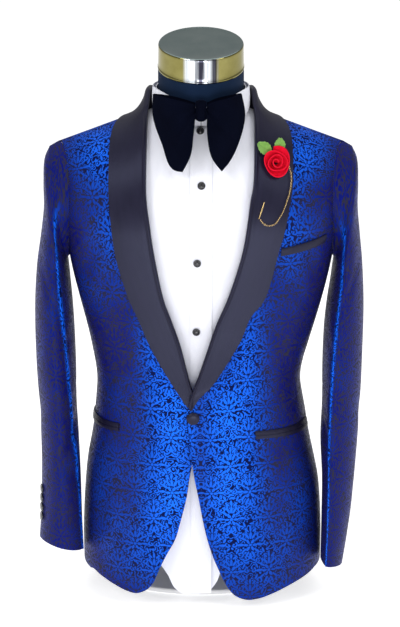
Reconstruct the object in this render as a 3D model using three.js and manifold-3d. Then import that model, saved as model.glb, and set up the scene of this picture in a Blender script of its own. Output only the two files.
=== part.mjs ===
// A one-button shawl-collar tuxedo, worn over a wing of plain white shirt and a large velvet bow tie,
// on a limbless tailor's form that stands on its own small base.
// Units are millimetres, +Z is up, the front faces -Y, and +X is the wearer's left.
// Every cloth piece is a thin wall. Its outer points come from a few smooth sections, its inside from the
// same points moved in by the cloth's thickness, and its rim closes the two.
import * as THREE from "three";
import Module from "manifold-3d";

const wasm = await Module();
wasm.setup();

// Driving sizes of the set
const JACKET_CLOTH = 2;
const SATIN_CLOTH = 1.8;
const SHIRT_CLOTH = 1.2;
const VELVET_CLOTH = 1.8;
const SEAM_GAP = 0.36;
const CHEST_HEIGHT = 600;
const SHOULDER_RISE = 149;
const SHOULDER_CLIMB = 195;
const TOP_CLIMB = CHEST_HEIGHT + SHOULDER_CLIMB;
const SHOULDER_SLOPE = 0.37;
const SHOULDER_ROUNDNESS = 1.15;
const SHOULDER_MIDDLE = 150;
const BODY_MIDDLE = 8;
const BODY_AHEAD_OF_BASE = 20;
const DEGREE = Math.PI / 180;

// Small helpers for smooth tables and curves
const clamp = (value, low, high) => Math.min(high, Math.max(low, value));
const mix = (a, b, share) => a + (b - a) * share;
const smooth = (value) => {
  const t = clamp(value, 0, 1);
  return t * t * (3 - 2 * t);
};

// The cubic through values[i] at keys[i], whose slope at each key comes from its two neighbours.
function cubic(keys, values, key) {
  const last = keys.length - 1;
  const k = clamp(key, keys[0], keys[last]);
  let i = 0;
  while (i < last - 1 && k > keys[i + 1]) i++;
  const rise = (j) => (values[j + 1] - values[j]) / (keys[j + 1] - keys[j]);
  const slope = (j) => {
    if (j === 0) return rise(0);
    if (j === last) return rise(last - 1);
    const before = keys[j] - keys[j - 1];
    const after = keys[j + 1] - keys[j];
    return (rise(j - 1) * after + rise(j) * before) / (before + after);
  };
  const span = keys[i + 1] - keys[i];
  const t = (k - keys[i]) / span;
  const t2 = t * t;
  const t3 = t2 * t;
  return (2 * t3 - 3 * t2 + 1) * values[i] + (t3 - 2 * t2 + t) * span * slope(i)
    + (3 * t2 - 2 * t3) * values[i + 1] + (t3 - t2) * span * slope(i + 1);
}

// A table with named columns. reader(table, column)(key) follows that column by the table's first column.
function table(names, rows) {
  const columns = {};
  names.split(" ").forEach((name, i) => {
    columns[name] = rows.map((row) => row[i]);
  });
  return { keys: rows.map((row) => row[0]), columns };
}
const read = (from, column, key) => cubic(from.keys, from.columns[column], key);

// The curve through points, walked at an even pace: curve(0) is the first point and curve(1) the last.
function curveThrough(points) {
  const walked = [0];
  for (let i = 1; i < points.length; i++) {
    walked.push(walked[i - 1] + Math.hypot(...points[i].map((v, k) => v - points[i - 1][k])));
  }
  const end = walked[walked.length - 1];
  return (share) => points[0].map((_, k) => cubic(walked, points.map((p) => p[k]), share * end));
}

// The value between low and high where a rising function reaches a target.
function solve(rising, target, low, high) {
  for (let i = 0; i < 44; i++) {
    const middle = (low + high) / 2;
    if (rising(middle) < target) low = middle;
    else high = middle;
  }
  return (low + high) / 2;
}

// Sections of the body: half-widths and the front's and back's depths from the middle plane, by height.
// Above the chest each depth shrinks towards the shoulder's ridge.
const JACKET_BODY = table("height width shift front back square", [
  [0, 189, 2, 112, 116, 0.03],
  [50, 190, 2, 115, 117, 0.03],
  [100, 190, 2, 117, 116, 0.03],
  [145, 188, 2, 118.5, 113, 0.03],
  [185, 184.5, 1.5, 120, 109, 0.03],
  [220, 179, 0, 121, 104, 0.03],
  [255, 172, -0.5, 122, 99, 0.03],
  [290, 166, -1, 122.5, 94, 0.03],
  [325, 161.5, -2.5, 123, 91, 0.03],
  [355, 160, -3.5, 122.5, 90, 0.03],
  [385, 163, -3, 121.5, 92, 0.03],
  [415, 169.5, -1.5, 121, 96, 0.03],
  [445, 177.5, -0.5, 120.5, 101, 0.032],
  [480, 186.5, 0, 120, 107, 0.035],
  [530, 198, 0, 119.5, 114, 0.04],
  [600, 209, 0, 118, 121, 0.045],
  [660, 213, 0, 118, 121, 0.045],
  [795, 217, 0, 118, 121, 0.04],
]);
const SHIRT_BODY = table("height width shift front back square", [
  [0, 171, 0, 101, 99, 0.03],
  [60, 172, 0, 102, 100, 0.03],
  [145, 171, 0, 103, 98, 0.03],
  [220, 165, 0, 104, 91, 0.03],
  [290, 154, -1, 104.5, 82, 0.03],
  [355, 149, -1, 104.5, 79, 0.03],
  [415, 158, -1, 106, 85, 0.03],
  [480, 176, 0, 107.5, 97, 0.035],
  [530, 189, 0, 108.5, 105, 0.04],
  [600, 201, 0, 108, 111, 0.045],
  [660, 206, 0, 109, 111, 0.045],
  [795, 212.5, 0, 111, 111.5, 0.04],
]);
const FORM_BODY = table("height width shift front back square", [
  [108, 160, 0, 88, 84, 0.03],
  [145, 161, 0, 90, 85, 0.03],
  [220, 157, 0, 92, 79, 0.03],
  [290, 147, -1, 94, 71, 0.03],
  [355, 143, -1, 95, 69, 0.03],
  [415, 151, -1, 98, 75, 0.03],
  [480, 167, 0, 100, 87, 0.035],
  [530, 180, 0, 101, 95, 0.04],
  [600, 192, 0, 100.5, 101, 0.045],
  [660, 197, 0, 101, 101, 0.045],
  [795, 203, 0, 101, 99, 0.04],
]);
// drop lowers a layer's shoulders below the coat's. A layer with side -1 is drawn mirrored afterwards.
const JACKET = { body: JACKET_BODY, drop: 0, side: 1 };
const JACKET_RIGHT = { ...JACKET, side: -1 };
const SHIRT = { body: SHIRT_BODY, drop: 2.6, side: 1 };
const SHIRT_RIGHT = { ...SHIRT, side: -1 };
const FORM = { body: FORM_BODY, drop: 4.5, side: 1 };

// How high the cloth is after `climb` millimetres up from the floor, on the shoulder's middle line.
function levelAt(layer, climb) {
  const share = clamp((climb - CHEST_HEIGHT) / SHOULDER_CLIMB, 0, 1);
  if (share === 0) return { height: climb, slope: 0, depth: 1 };
  const rise = Math.sin(share * Math.PI / 2);
  return {
    height: CHEST_HEIGHT + (SHOULDER_RISE - layer.drop) * rise,
    slope: SHOULDER_SLOPE * smooth(rise),
    depth: Math.cos(share * Math.PI / 2) ** SHOULDER_ROUNDNESS,
  };
}

// A point of the body: turn 0 is the front's middle, 90 degrees the wearer's left side, 180 the back.
// Each section is an oval made a little square by a third harmonic. A climb beyond the shoulder's ridge
// comes down again on the body's other side.
function bodyPoint(layer, turn, climb) {
  if (climb > TOP_CLIMB) return bodyPoint(layer, Math.PI - turn, 2 * TOP_CLIMB - climb);
  const level = levelAt(layer, climb);
  const square = read(layer.body, "square", climb);
  const across = (1 + square) * Math.sin(turn) + square * Math.sin(3 * turn);
  const ahead = (1 + square) * Math.cos(turn) - square * Math.cos(3 * turn);
  const depth = level.depth * read(layer.body, ahead > 0 ? "front" : "back", climb);
  const x = layer.side * read(layer.body, "shift", climb) + read(layer.body, "width", climb) * across;
  const sideways = Math.sqrt(x * x + 100);
  const z = level.height + (SHOULDER_MIDDLE - sideways) * level.slope;
  return new THREE.Vector3(x, BODY_MIDDLE - depth * ahead, z);
}

// The body's outward direction at a point.
function bodyNormal(layer, turn, climb) {
  const around = bodyPoint(layer, turn + 0.004, climb).sub(bodyPoint(layer, turn - 0.004, climb));
  const upwards = bodyPoint(layer, turn, climb + 4).sub(bodyPoint(layer, turn, climb - 4));
  return around.cross(upwards).normalize();
}

// The same point pushed out along the body's normal.
const bodyPointOut = (layer, turn, climb, out) =>
  bodyPoint(layer, turn, climb).addScaledVector(bodyNormal(layer, turn, climb), out);

// The climb and turn of the front's point that is seen from ahead at x and z.
function frontPlace(layer, x, z) {
  const heightAt = (climb) => {
    const level = levelAt(layer, climb);
    return level.height + (SHOULDER_MIDDLE - Math.sqrt(x * x + 100)) * level.slope;
  };
  const climb = solve(heightAt, z, 0, TOP_CLIMB);
  return [turnAt(layer, x, climb), climb];
}
function turnAt(layer, x, climb) {
  return solve((turn) => bodyPoint(layer, turn, climb).x, x, -Math.PI / 2, Math.PI / 2);
}

// Walls of cloth
// point(u, v, inset) gives the surface that lies `inset` inside the cloth's outside,
// with u running anticlockwise seen from above and v upwards.
const evenly = (count) => Array.from({ length: count + 1 }, (_, i) => i / count);
const gridOf = (point, columns, rows, inset = 0) => {
  const upwards = Array.isArray(rows) ? rows : evenly(rows);
  return upwards.map((v) => evenly(columns).map((u) => point(u, v, inset)));
};
const clothGrid = (point, columns, rows, thickness) =>
  solidBetween(gridOf(point, columns, rows), gridOf(point, columns, rows, thickness));

// A wall whose inside lies square to its outside everywhere.
// A piece that meets its mirror image ends square to the middle plane.
function clothBehind(outer, thickness, meetsMirror = false) {
  const rows = outer.length - 1;
  const columns = outer[0].length - 1;
  const at = (i, j) => {
    if (meetsMirror && j > rows) {
      const p = at(i, rows - 1);
      return new THREE.Vector3(-p.x, p.y, p.z);
    }
    const row = clamp(j, 0, rows);
    return outer[row][clamp(i, 0, columns)];
  };
  const inner = outer.map((line, j) => line.map((p, i) => {
    const across = at(i + 1, j).clone().sub(at(i - 1, j));
    const along = at(i, j + 1).clone().sub(at(i, j - 1));
    return p.clone().addScaledVector(across.cross(along).normalize(), -thickness);
  }));
  return solidBetween(outer, inner);
}

// The closed solid between two grids of points, with the first one outside.
function solidBetween(outer, inner, ring = false) {
  const rows = outer.length;
  const columns = ring ? outer[0].length - 1 : outer[0].length;
  const positions = [];
  const place = (grid) => {
    const first = positions.length / 3;
    for (const line of grid) {
      for (let i = 0; i < columns; i++) positions.push(line[i].x, line[i].y, line[i].z);
    }
    return (i, j) => first + j * columns + (i % columns);
  };
  const out = place(outer);
  const ins = place(inner);
  const index = [];
  const quad = (a, b, c, d) => index.push(a, b, c, a, c, d);
  const across = ring ? columns : columns - 1;
  // Each cell is split along its shorter diagonal, so that both sides of the body get the same facets.
  for (let j = 0; j < rows - 1; j++) {
    for (let i = 0; i < across; i++) {
      const rising = outer[j][i].distanceTo(outer[j + 1][i + 1]);
      const falling = outer[j][i + 1].distanceTo(outer[j + 1][i]);
      if (rising <= falling) {
        quad(out(i, j), out(i + 1, j), out(i + 1, j + 1), out(i, j + 1));
        quad(ins(i, j), ins(i, j + 1), ins(i + 1, j + 1), ins(i + 1, j));
      } else {
        quad(out(i + 1, j), out(i + 1, j + 1), out(i, j + 1), out(i, j));
        quad(ins(i + 1, j), ins(i, j), ins(i, j + 1), ins(i + 1, j + 1));
      }
    }
  }
  const top = rows - 1;
  for (let i = 0; i < across; i++) {
    quad(ins(i, 0), ins(i + 1, 0), out(i + 1, 0), out(i, 0));
    quad(out(i, top), out(i + 1, top), ins(i + 1, top), ins(i, top));
  }
  if (!ring) {
    const end = columns - 1;
    for (let j = 0; j < rows - 1; j++) {
      quad(ins(0, j), out(0, j), out(0, j + 1), ins(0, j + 1));
      quad(out(end, j), ins(end, j), ins(end, j + 1), out(end, j + 1));
    }
  }
  return geometryOf(positions, index);
}

// A body of stacked rings, closed at its two ends.
function stackedRings(rings) {
  const count = rings[0].length;
  const positions = rings.flat().flatMap((p) => [p.x, p.y, p.z]);
  const index = [];
  for (let j = 0; j < rings.length - 1; j++) {
    for (let i = 0; i < count; i++) {
      const a = j * count + i;
      const b = j * count + ((i + 1) % count);
      index.push(a, b, b + count, a, b + count, a + count);
    }
  }
  const middleOf = (ring) => ring.reduce((sum, p) => sum.add(p), new THREE.Vector3())
    .multiplyScalar(1 / count);
  [0, rings.length - 1].forEach((j) => {
    const middle = middleOf(rings[j]);
    const centre = positions.length / 3;
    positions.push(middle.x, middle.y, middle.z);
    for (let i = 0; i < count; i++) {
      const a = j * count + i;
      const b = j * count + ((i + 1) % count);
      if (j === 0) index.push(centre, b, a);
      else index.push(centre, a, b);
    }
  });
  return geometryOf(positions, index);
}

function geometryOf(positions, index) {
  const geometry = new THREE.BufferGeometry();
  geometry.setAttribute("position", new THREE.Float32BufferAttribute(positions, 3));
  geometry.setIndex(index);
  geometry.computeVertexNormals();
  return geometry;
}

// The other side of the body: u runs backwards, so that the outside stays outside.
const mirrored = (point) => (u, v, inset) => {
  const p = point(1 - u, v, inset);
  return new THREE.Vector3(-p.x, p.y, p.z);
};
const mirroredGrid = (grid) =>
  grid.map((line) => line.map((p) => new THREE.Vector3(-p.x, p.y, p.z)).reverse());

// A patch between four border curves, each a function of its share, in any coordinates.
// handOver(u) is how much of the last side border has replaced the first one.
function patch(bottom, top, start, end, handOver = (u) => u) {
  const [c00, c10, c01, c11] = [bottom(0), bottom(1), top(0), top(1)];
  return (u, v) => bottom(u).map((b, k) => {
    const w = handOver(u);
    return (1 - v) * b + v * top(u)[k] + (1 - w) * start(v)[k] + w * end(v)[k]
      - (1 - w) * (1 - v) * c00[k] - w * (1 - v) * c10[k]
      - (1 - w) * v * c01[k] - w * v * c11[k];
  });
}

// Materials
const cloth = (colour, roughness, metalness = 0) =>
  new THREE.MeshStandardMaterial({ color: colour, roughness, metalness, side: THREE.DoubleSide });
const BROCADE = cloth("#1420a8", 0.45);
const SATIN = cloth("#25243c", 0.4);
const VELVET = cloth("#05060c", 0.95);
const SHIRTING = cloth("#f2f2fb", 0.8);
const STUD = cloth("#0b0b10", 0.25);
const JERSEY = cloth("#16283c", 0.9);
const CHROME = cloth("#c9cdd2", 0.15, 1);
const WHITE_PAINT = cloth("#f4f4f4", 0.5);
const FELT_RED = cloth("#d8122b", 0.9);
const FELT_GREEN = cloth("#5f9a35", 0.9);
const GOLD = cloth("#c9a15a", 0.3, 1);

// Everything above the base hangs on this group, a little ahead of the column.
const tuxedo = new THREE.Group();
const worn = new THREE.Group();
worn.position.y = -BODY_AHEAD_OF_BASE;
tuxedo.add(worn);
function addPiece(name, geometry, material, parent = worn) {
  const piece = new THREE.Mesh(geometry, material);
  piece.name = name;
  parent.add(piece);
  return piece;
}

// Armholes: an oval round the side of the body, from the armpit to the shoulder's tip.
const JACKET_ARMHOLE = { reach: 27 * DEGREE, bottom: 548, top: TOP_CLIMB };
const SHIRT_ARMHOLE = { reach: 22.5 * DEGREE, bottom: 562, top: TOP_CLIMB - 13 };
const ARMHOLE_FRONT_SEAM = 228 * DEGREE;
const ARMHOLE_BACK_SEAM = 128 * DEGREE;
// around 0 is the shoulder's tip, 90 degrees the back, 180 the armpit and 270 the front.
function armholePlace(hole, around) {
  const middle = (hole.top + hole.bottom) / 2;
  const half = (hole.top - hole.bottom) / 2;
  return [Math.PI / 2 + hole.reach * Math.sin(around), middle + half * Math.cos(around)];
}

// Folds of the coat: soft troughs from one point to another, seen from ahead, on both fronts.
const FRONT_FOLDS = table("order fromX fromZ toX toZ depth breadth", [
  [0, 26, 342, 118, 412, 2.6, 10],
  [1, 30, 322, 138, 352, 2.4, 9],
  [2, 24, 306, 104, 262, 2.0, 11],
  [3, 40, 360, 128, 470, 1.8, 12],
  [4, 150, 610, 178, 520, 3.0, 12],
]);
const FOLD_COUNT = FRONT_FOLDS.keys.length;
function foldDepth(x, z) {
  let sum = 0;
  for (let n = 0; n < FOLD_COUNT; n++) {
    const row = (column) => FRONT_FOLDS.columns[column][n];
    const alongX = row("toX") - row("fromX");
    const alongZ = row("toZ") - row("fromZ");
    const length = Math.hypot(alongX, alongZ);
    const share = ((x - row("fromX")) * alongX + (z - row("fromZ")) * alongZ) / length ** 2;
    const away = ((x - row("fromX")) * alongZ - (z - row("fromZ")) * alongX) / length;
    const fade = Math.sin(Math.PI * clamp(share, 0, 1)) ** 0.8;
    sum += row("depth") * fade * Math.exp(-((away / row("breadth")) ** 2));
  }
  return sum;
}

// The coat's fronts. Each border point is as seen from ahead, in x and z.
// The wearer's left front closes over the right one, and hangs a little lower.
const ROLL_INSET = 3.8;
const LEFT_EDGE = [[33, 56], [18.5, 92.5], [9.5, 123], [0.7, 166], [-8, 215], [-13.4, 253], [-17, 290],
  [-21, 318], [-21.5, 334], [-17.5, 350], [-12.2, 370], [-4.7, 391.5], [7.5, 428], [21, 468], [40, 513],
  [58, 570], [66.5, 615], [72, 656], [77, 694], [78, 741], [79, 776]];
const LEFT_HEM = [[33, 56], [41, 40], [54.5, 23], [72.5, 15.2], [90.6, 16], [112, 22], [140, 32], [168, 41]];
const RIGHT_EDGE = [[67, 65], [53, 95], [40, 121], [31, 154], [21.5, 196], [15, 240], [8, 275],
  [0, 305], [-2.5, 330], [3.5, 350], [14.3, 374], [20.5, 399], [30.5, 439], [44, 478], [56, 513],
  [67.4, 570], [74, 615], [79, 653], [80, 684], [79, 726], [79, 776]];
const RIGHT_HEM = [[67, 65], [74.5, 45], [87, 30], [102, 23.6], [116, 25.5], [134, 32], [158, 42], [172, 47]];
const SIDE_HEM_HEIGHT = 47;
const BACK_HEM_HEIGHT = 52;
const FRONT_SEAM_AT_HEM = 66 * DEGREE;
const BACK_SEAM_AT_HEM = 122 * DEGREE;
const NECK_SIDE = 80;
const OVERLAP_LIFT = 7.5;
const SEAM_ROWS = 13;
const ARMHOLE_ROWS = 8;
const PANEL_ROWS = SEAM_ROWS + ARMHOLE_ROWS;
// One more row close under the shoulder seam, where the cloth bends most.
const PANEL_LINES = [...evenly(PANEL_ROWS).slice(0, -1), 1 - 0.45 / PANEL_ROWS, 1];
const ROUND_A_BODY = 150;
const HALF_GAP_TURN = SEAM_GAP / 2 / 170;
const RIDGE = TOP_CLIMB - 0.45;
const SHOULDER_END = 6 * DEGREE;

const frontSeamTop = armholePlace(JACKET_ARMHOLE, ARMHOLE_FRONT_SEAM);
const backSeamTop = armholePlace(JACKET_ARMHOLE, ARMHOLE_BACK_SEAM);
const spread = (places) => places.map(([turn, climb]) => [turn * ROUND_A_BODY, climb]);
const frontSeam = curveThrough(spread([[FRONT_SEAM_AT_HEM, SIDE_HEM_HEIGHT - 2],
  [frontSeamTop[0] - 0.04, 330], frontSeamTop]));
const backSeam = curveThrough(spread([[BACK_SEAM_AT_HEM, SIDE_HEM_HEIGHT + 2],
  [backSeamTop[0] + 0.12, 330], backSeamTop]));

// A panel's long border: a seam up to the armpit, then the armhole on to the shoulder's tip.
function seamAndArmhole(seam, from, to, v) {
  const share = SEAM_ROWS / PANEL_ROWS;
  if (v <= share) return seam(v / share);
  const [turn, climb] = armholePlace(JACKET_ARMHOLE, mix(from, to, (v - share) / (1 - share)));
  const short = SHOULDER_END * smooth((climb - RIDGE + 30) / 30) * (to > from ? -1 : 1);
  return [(turn + short) * ROUND_A_BODY, Math.min(climb, RIDGE)];
}

// How far the closing front lies over the other one, round the button.
function overlapLift(x, z) {
  const nearMiddle = smooth((72 - x) / 60);
  const nearButton = smooth((z - 180) / 70) * smooth((500 - z) / 130);
  return OVERLAP_LIFT * nearMiddle * nearButton;
}
const noLift = () => 0;

// A point of a panel. Beside the shoulder's ridge the front and the back keep their distance.
function seamPoint(layer, turn, climb, out) {
  const point = bodyPointOut(layer, turn, climb, out);
  point.y += SEAM_GAP / 2 * smooth((climb - TOP_CLIMB + 24) / 24) * Math.sign(turn - Math.PI / 2);
  return point;
}

function frontPanel(layer, edge, hem, lift) {
  const places = (points) => spread(points.map(([x, z]) => frontPlace(layer, x, Math.min(z, 775))));
  const neck = [turnAt(layer, NECK_SIDE + ROLL_INSET, RIDGE), RIDGE];
  const rolled = edge.slice(0, -1).map(([x, z]) => [x + smooth((z - 330) / 50) * ROLL_INSET, z]);
  const start = curveThrough([...places(rolled), ...spread([neck])]);
  const hemCurve = curveThrough([...places(hem), frontSeam(0)]);
  const shoulder = (u) => [mix(neck[0], Math.PI / 2 - SHOULDER_END, u) * ROUND_A_BODY, RIDGE];
  const side = (v) => seamAndArmhole(frontSeam, ARMHOLE_FRONT_SEAM, 2 * Math.PI, v);
  const cut = patch(hemCurve, shoulder, start, side);
  return (u, v, inset = 0) => {
    const [along, climb] = cut(u, v);
    const turn = along / ROUND_A_BODY - HALF_GAP_TURN * u;
    const seen = bodyPoint(layer, turn, climb);
    const out = lift(seen.x, seen.z) - foldDepth(seen.x, seen.z) - inset;
    return seamPoint(layer, turn, climb, out);
  };
}
const FRONT_COLUMNS = 7;
const leftFront = frontPanel(JACKET, LEFT_EDGE, LEFT_HEM, overlapLift);
const rightFront = frontPanel(JACKET_RIGHT, RIGHT_EDGE, RIGHT_HEM, noLift);
addPiece("jacket_front_left", clothGrid(leftFront, FRONT_COLUMNS, PANEL_LINES, JACKET_CLOTH), BROCADE);
addPiece("jacket_front_right",
  clothGrid(mirrored(rightFront), FRONT_COLUMNS, PANEL_LINES, JACKET_CLOTH), BROCADE);

// The side panels, from the front seam to the back seam, under the armhole.
const ARMPIT_COLUMNS = 5;
const sideCut = patch(
  curveThrough([frontSeam(0), [94 * DEGREE * ROUND_A_BODY, SIDE_HEM_HEIGHT], backSeam(0)]),
  (u) => spread([armholePlace(JACKET_ARMHOLE, mix(ARMHOLE_FRONT_SEAM, ARMHOLE_BACK_SEAM, u))])[0],
  frontSeam, backSeam);
const sidePanel = (layer) => (u, v, inset) => {
  const [along, climb] = sideCut(u, v);
  const turn = along / ROUND_A_BODY + HALF_GAP_TURN * (1 - 2 * u);
  return bodyPointOut(layer, turn, climb, -inset);
};
const sideShape = [ARMPIT_COLUMNS, SEAM_ROWS, JACKET_CLOTH];
addPiece("jacket_side_left", clothGrid(sidePanel(JACKET), ...sideShape), BROCADE);
addPiece("jacket_side_right", clothGrid(mirrored(sidePanel(JACKET_RIGHT)), ...sideShape), BROCADE);

// The backs, each from its side seam and armhole to the seam down the middle.
const BACK_NECK_DEPTH = 87;
const BACK_COLUMNS = 7;
const NECK_COLUMNS = 2;
const neckBehind = curveThrough([
  [Math.PI - turnAt(JACKET, NECK_SIDE + ROLL_INSET, RIDGE), RIDGE],
  [159.5 * DEGREE, TOP_CLIMB - 44],
  [168.7 * DEGREE, TOP_CLIMB - 75],
  [Math.PI, TOP_CLIMB - BACK_NECK_DEPTH],
].map(([turn, climb]) => [turn * ROUND_A_BODY, climb]));
const backCut = patch(
  curveThrough([backSeam(0), [150 * DEGREE * ROUND_A_BODY, BACK_HEM_HEIGHT],
    [Math.PI * ROUND_A_BODY, BACK_HEM_HEIGHT + 1]]),
  (u) => {
    const tip = 1 - NECK_COLUMNS / BACK_COLUMNS;
    if (u >= tip) return neckBehind((u - tip) / (1 - tip));
    return [mix((Math.PI / 2 + SHOULDER_END) * ROUND_A_BODY, neckBehind(0)[0], u / tip), RIDGE];
  },
  (v) => seamAndArmhole(backSeam, ARMHOLE_BACK_SEAM, 0, v),
  curveThrough([[Math.PI * ROUND_A_BODY, BACK_HEM_HEIGHT + 1],
    [Math.PI * ROUND_A_BODY, TOP_CLIMB - BACK_NECK_DEPTH]]),
  (u) => 1 - (1 - u) ** 1.8);
const backPanel = (layer) => (u, v, inset) => {
  const [along, climb] = backCut(u, v);
  const turn = along / ROUND_A_BODY + HALF_GAP_TURN * (1 - 2 * u);
  const point = seamPoint(layer, turn, climb, -inset);
  point.x = Math.max(point.x, SEAM_GAP / 2);
  return point;
};
const backShape = [BACK_COLUMNS, PANEL_LINES, JACKET_CLOTH];
addPiece("jacket_back_left", clothGrid(backPanel(JACKET), ...backShape), BROCADE);
addPiece("jacket_back_right", clothGrid(mirrored(backPanel(JACKET_RIGHT)), ...backShape), BROCADE);

// Sleeves
// Each row is one section down the arm: its outer and inner points as seen from ahead, how far it reaches
// to the front and back, and how far its front crease is turned towards the body.
const LEFT_SLEEVE = table("order outerX outerZ innerX innerZ front back crease", [
  [0, 229, 717, 204.5, 545, -54, 66, 0],
  [1, 236.5, 699, 205, 537, -59, 69, 0],
  [2, 238.5, 670, 203.5, 526, -63, 71, 1],
  [3, 238.5, 630, 201.5, 513, -67, 72, 3],
  [4, 242.5, 588, 199, 497, -72, 72, 6],
  [5, 247.5, 538, 194.5, 471, -77, 68, 9],
  [6, 250.5, 474, 190.5, 433, -82, 62, 11],
  [7, 249.5, 398, 188.5, 378, -88, 52, 13],
  [8, 247.5, 322, 188, 316, -93, 42, 14],
  [9, 244, 262, 187, 258, -97, 32, 14],
  [10, 239.5, 200, 190, 198, -100, 20, 13],
  [11, 233.5, 132, 190, 134, -101, 8, 11],
  [12, 223.5, 60, 189.5, 64, -100, 2, 8],
]);
const RIGHT_SLEEVE = table("order outerX outerZ innerX innerZ front back crease", [
  [0, 229.5, 717, 204.5, 545, -54, 66, 0],
  [1, 237, 699, 205, 537, -59, 69, 0],
  [2, 239, 670, 204, 526, -63, 71, 0],
  [3, 239, 630, 202.5, 513, -67, 72, 0],
  [4, 244, 588, 201, 498, -72, 72, 1],
  [5, 251.5, 536, 198.5, 474, -77, 68, 2],
  [6, 255.5, 473, 196, 436, -82, 61, 3],
  [7, 255, 398, 194, 380, -87, 50, 4],
  [8, 251.5, 322, 193, 318, -92, 38, 4],
  [9, 249, 254, 190.5, 252, -95, 28, 4],
  [10, 249.5, 196, 188.5, 194, -96, 17, 3],
  [11, 251.5, 145, 187.5, 138, -95, 7, 2],
  [12, 254.5, 103, 186, 81, -93, 2, 1],
]);
const SLEEVE_ORDER = 12;

// Folds across a sleeve: at an order down the arm and a place round it, how deep and how wide.
const SLEEVE_FOLDS = table("number order around tilt depth breadth", [
  [0, 3.6, 250, 0.9, 2.6, 0.34],
  [1, 5.0, 282, -0.7, 2.2, 0.36],
  [2, 8.6, 214, 0.6, 4.2, 0.30],
  [3, 9.5, 236, -0.5, 2.4, 0.28],
  [4, 8.0, 330, 0.5, 1.8, 0.34],
  [5, 10.6, 300, 0.6, 1.6, 0.30],
]);
function sleeveFold(around, order) {
  let sum = 0;
  for (let n = 0; n < SLEEVE_FOLDS.keys.length; n++) {
    const row = (column) => SLEEVE_FOLDS.columns[column][n];
    let turned = around / DEGREE - row("around");
    turned -= 360 * Math.round(turned / 360);
    const share = clamp(turned / 58, -1, 1);
    const away = order - row("order") - row("tilt") * share;
    sum += row("depth") * Math.cos(share * Math.PI / 2) * Math.exp(-((away / row("breadth")) ** 2));
  }
  return sum;
}

// The cuff's edge stands higher in front than behind.
const CUFF_SLANT = 8;
// A point of a sleeve: order -1 is the armhole, 0 to 12 the sections, around as on the armhole.
function sleevePoint(layer, armhole, sections, around, order, inset, ending = SLEEVE_ORDER) {
  const key = Math.min(order, ending);
  const now = (column) => read(sections, column, Math.max(key, 0));
  const lean = new THREE.Vector3(now("outerX") - now("innerX"), 0, now("outerZ") - now("innerZ"));
  const half = lean.length() / 2;
  lean.normalize();
  const middle = new THREE.Vector3((now("outerX") + now("innerX")) / 2, (now("front") + now("back")) / 2,
    (now("outerZ") + now("innerZ")) / 2);
  const deep = (now("back") - now("front")) / 2;
  const cosine = Math.cos(around);
  const sine = Math.sin(around);
  const flat = smooth(Math.max(key, 0) / 7);
  const bend = sine < 0 ? mix(1, 1.12, flat) : mix(1, 0.86, flat);
  const across = Math.sign(cosine) * Math.abs(cosine) ** bend;
  const fold = key > 0 ? sleeveFold(around, key) : 0;
  const point = middle.clone()
    .addScaledVector(lean, across * (half - inset - fold) - now("crease") * Math.max(0, -sine) ** 3);
  point.y += sine * (deep - inset - fold);
  point.z -= CUFF_SLANT * sine * smooth((key - 9) / 3);
  if (order >= 0) return point;
  const [turn, climb] = armholePlace(armhole, around);
  const root = bodyPoint(layer, turn, Math.min(climb, RIDGE));
  const heart = bodyPoint(layer, Math.PI / 2, (armhole.top + armhole.bottom) / 2);
  const inward = heart.sub(root);
  inward.x = 0;
  root.addScaledVector(inward.normalize(), inset);
  root.x += 0.5;
  return root.lerp(point, order + 1);
}

// The seams of a sleeve lie one armhole step away from the coat's own seams.
const frontStep = (2 * Math.PI - ARMHOLE_FRONT_SEAM) / ARMHOLE_ROWS;
const backStep = ARMHOLE_BACK_SEAM / ARMHOLE_ROWS;
const topSleeveTurns = [];
for (let i = 1; i <= ARMHOLE_ROWS; i++) topSleeveTurns.push(ARMHOLE_FRONT_SEAM + frontStep * i);
for (let i = 1; i < ARMHOLE_ROWS; i++) topSleeveTurns.push(2 * Math.PI + backStep * i);
const underSleeveTurns = [ARMHOLE_BACK_SEAM - backStep];
for (let i = 0; i <= ARMPIT_COLUMNS; i++) {
  underSleeveTurns.push(mix(ARMHOLE_BACK_SEAM, ARMHOLE_FRONT_SEAM, i / ARMPIT_COLUMNS));
}
underSleeveTurns.push(ARMHOLE_FRONT_SEAM + frontStep);
const SLEEVE_ROWS = [12, 11, 10, 9.3, 8.6, 8, 7, 6, 5, 4, 3, 2, 1, 0, -1];

// turns are the places round the sleeve, from seam to seam, with half the gap taken off each end.
function sleevePiece(sections, turns, mirror) {
  const side = (inset) => {
    const lines = SLEEVE_ROWS.map((order) => turns.map((around, i) => {
      const gap = (i === 0 ? 1 : 0) - (i === turns.length - 1 ? 1 : 0);
      const shifted = around + gap * SEAM_GAP / 2 / 60;
      const p = sleevePoint(JACKET, JACKET_ARMHOLE, sections, shifted, order, inset);
      return mirror ? new THREE.Vector3(-p.x, p.y, p.z) : p;
    }));
    return mirror ? lines.map((line) => line.reverse()) : lines;
  };
  return solidBetween(side(0), side(JACKET_CLOTH));
}
addPiece("sleeve_top_left", sleevePiece(LEFT_SLEEVE, topSleeveTurns, false), BROCADE);
addPiece("sleeve_under_left", sleevePiece(LEFT_SLEEVE, underSleeveTurns, false), BROCADE);
addPiece("sleeve_top_right", sleevePiece(RIGHT_SLEEVE, topSleeveTurns, true), BROCADE);
addPiece("sleeve_under_right", sleevePiece(RIGHT_SLEEVE, underSleeveTurns, true), BROCADE);

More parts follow.
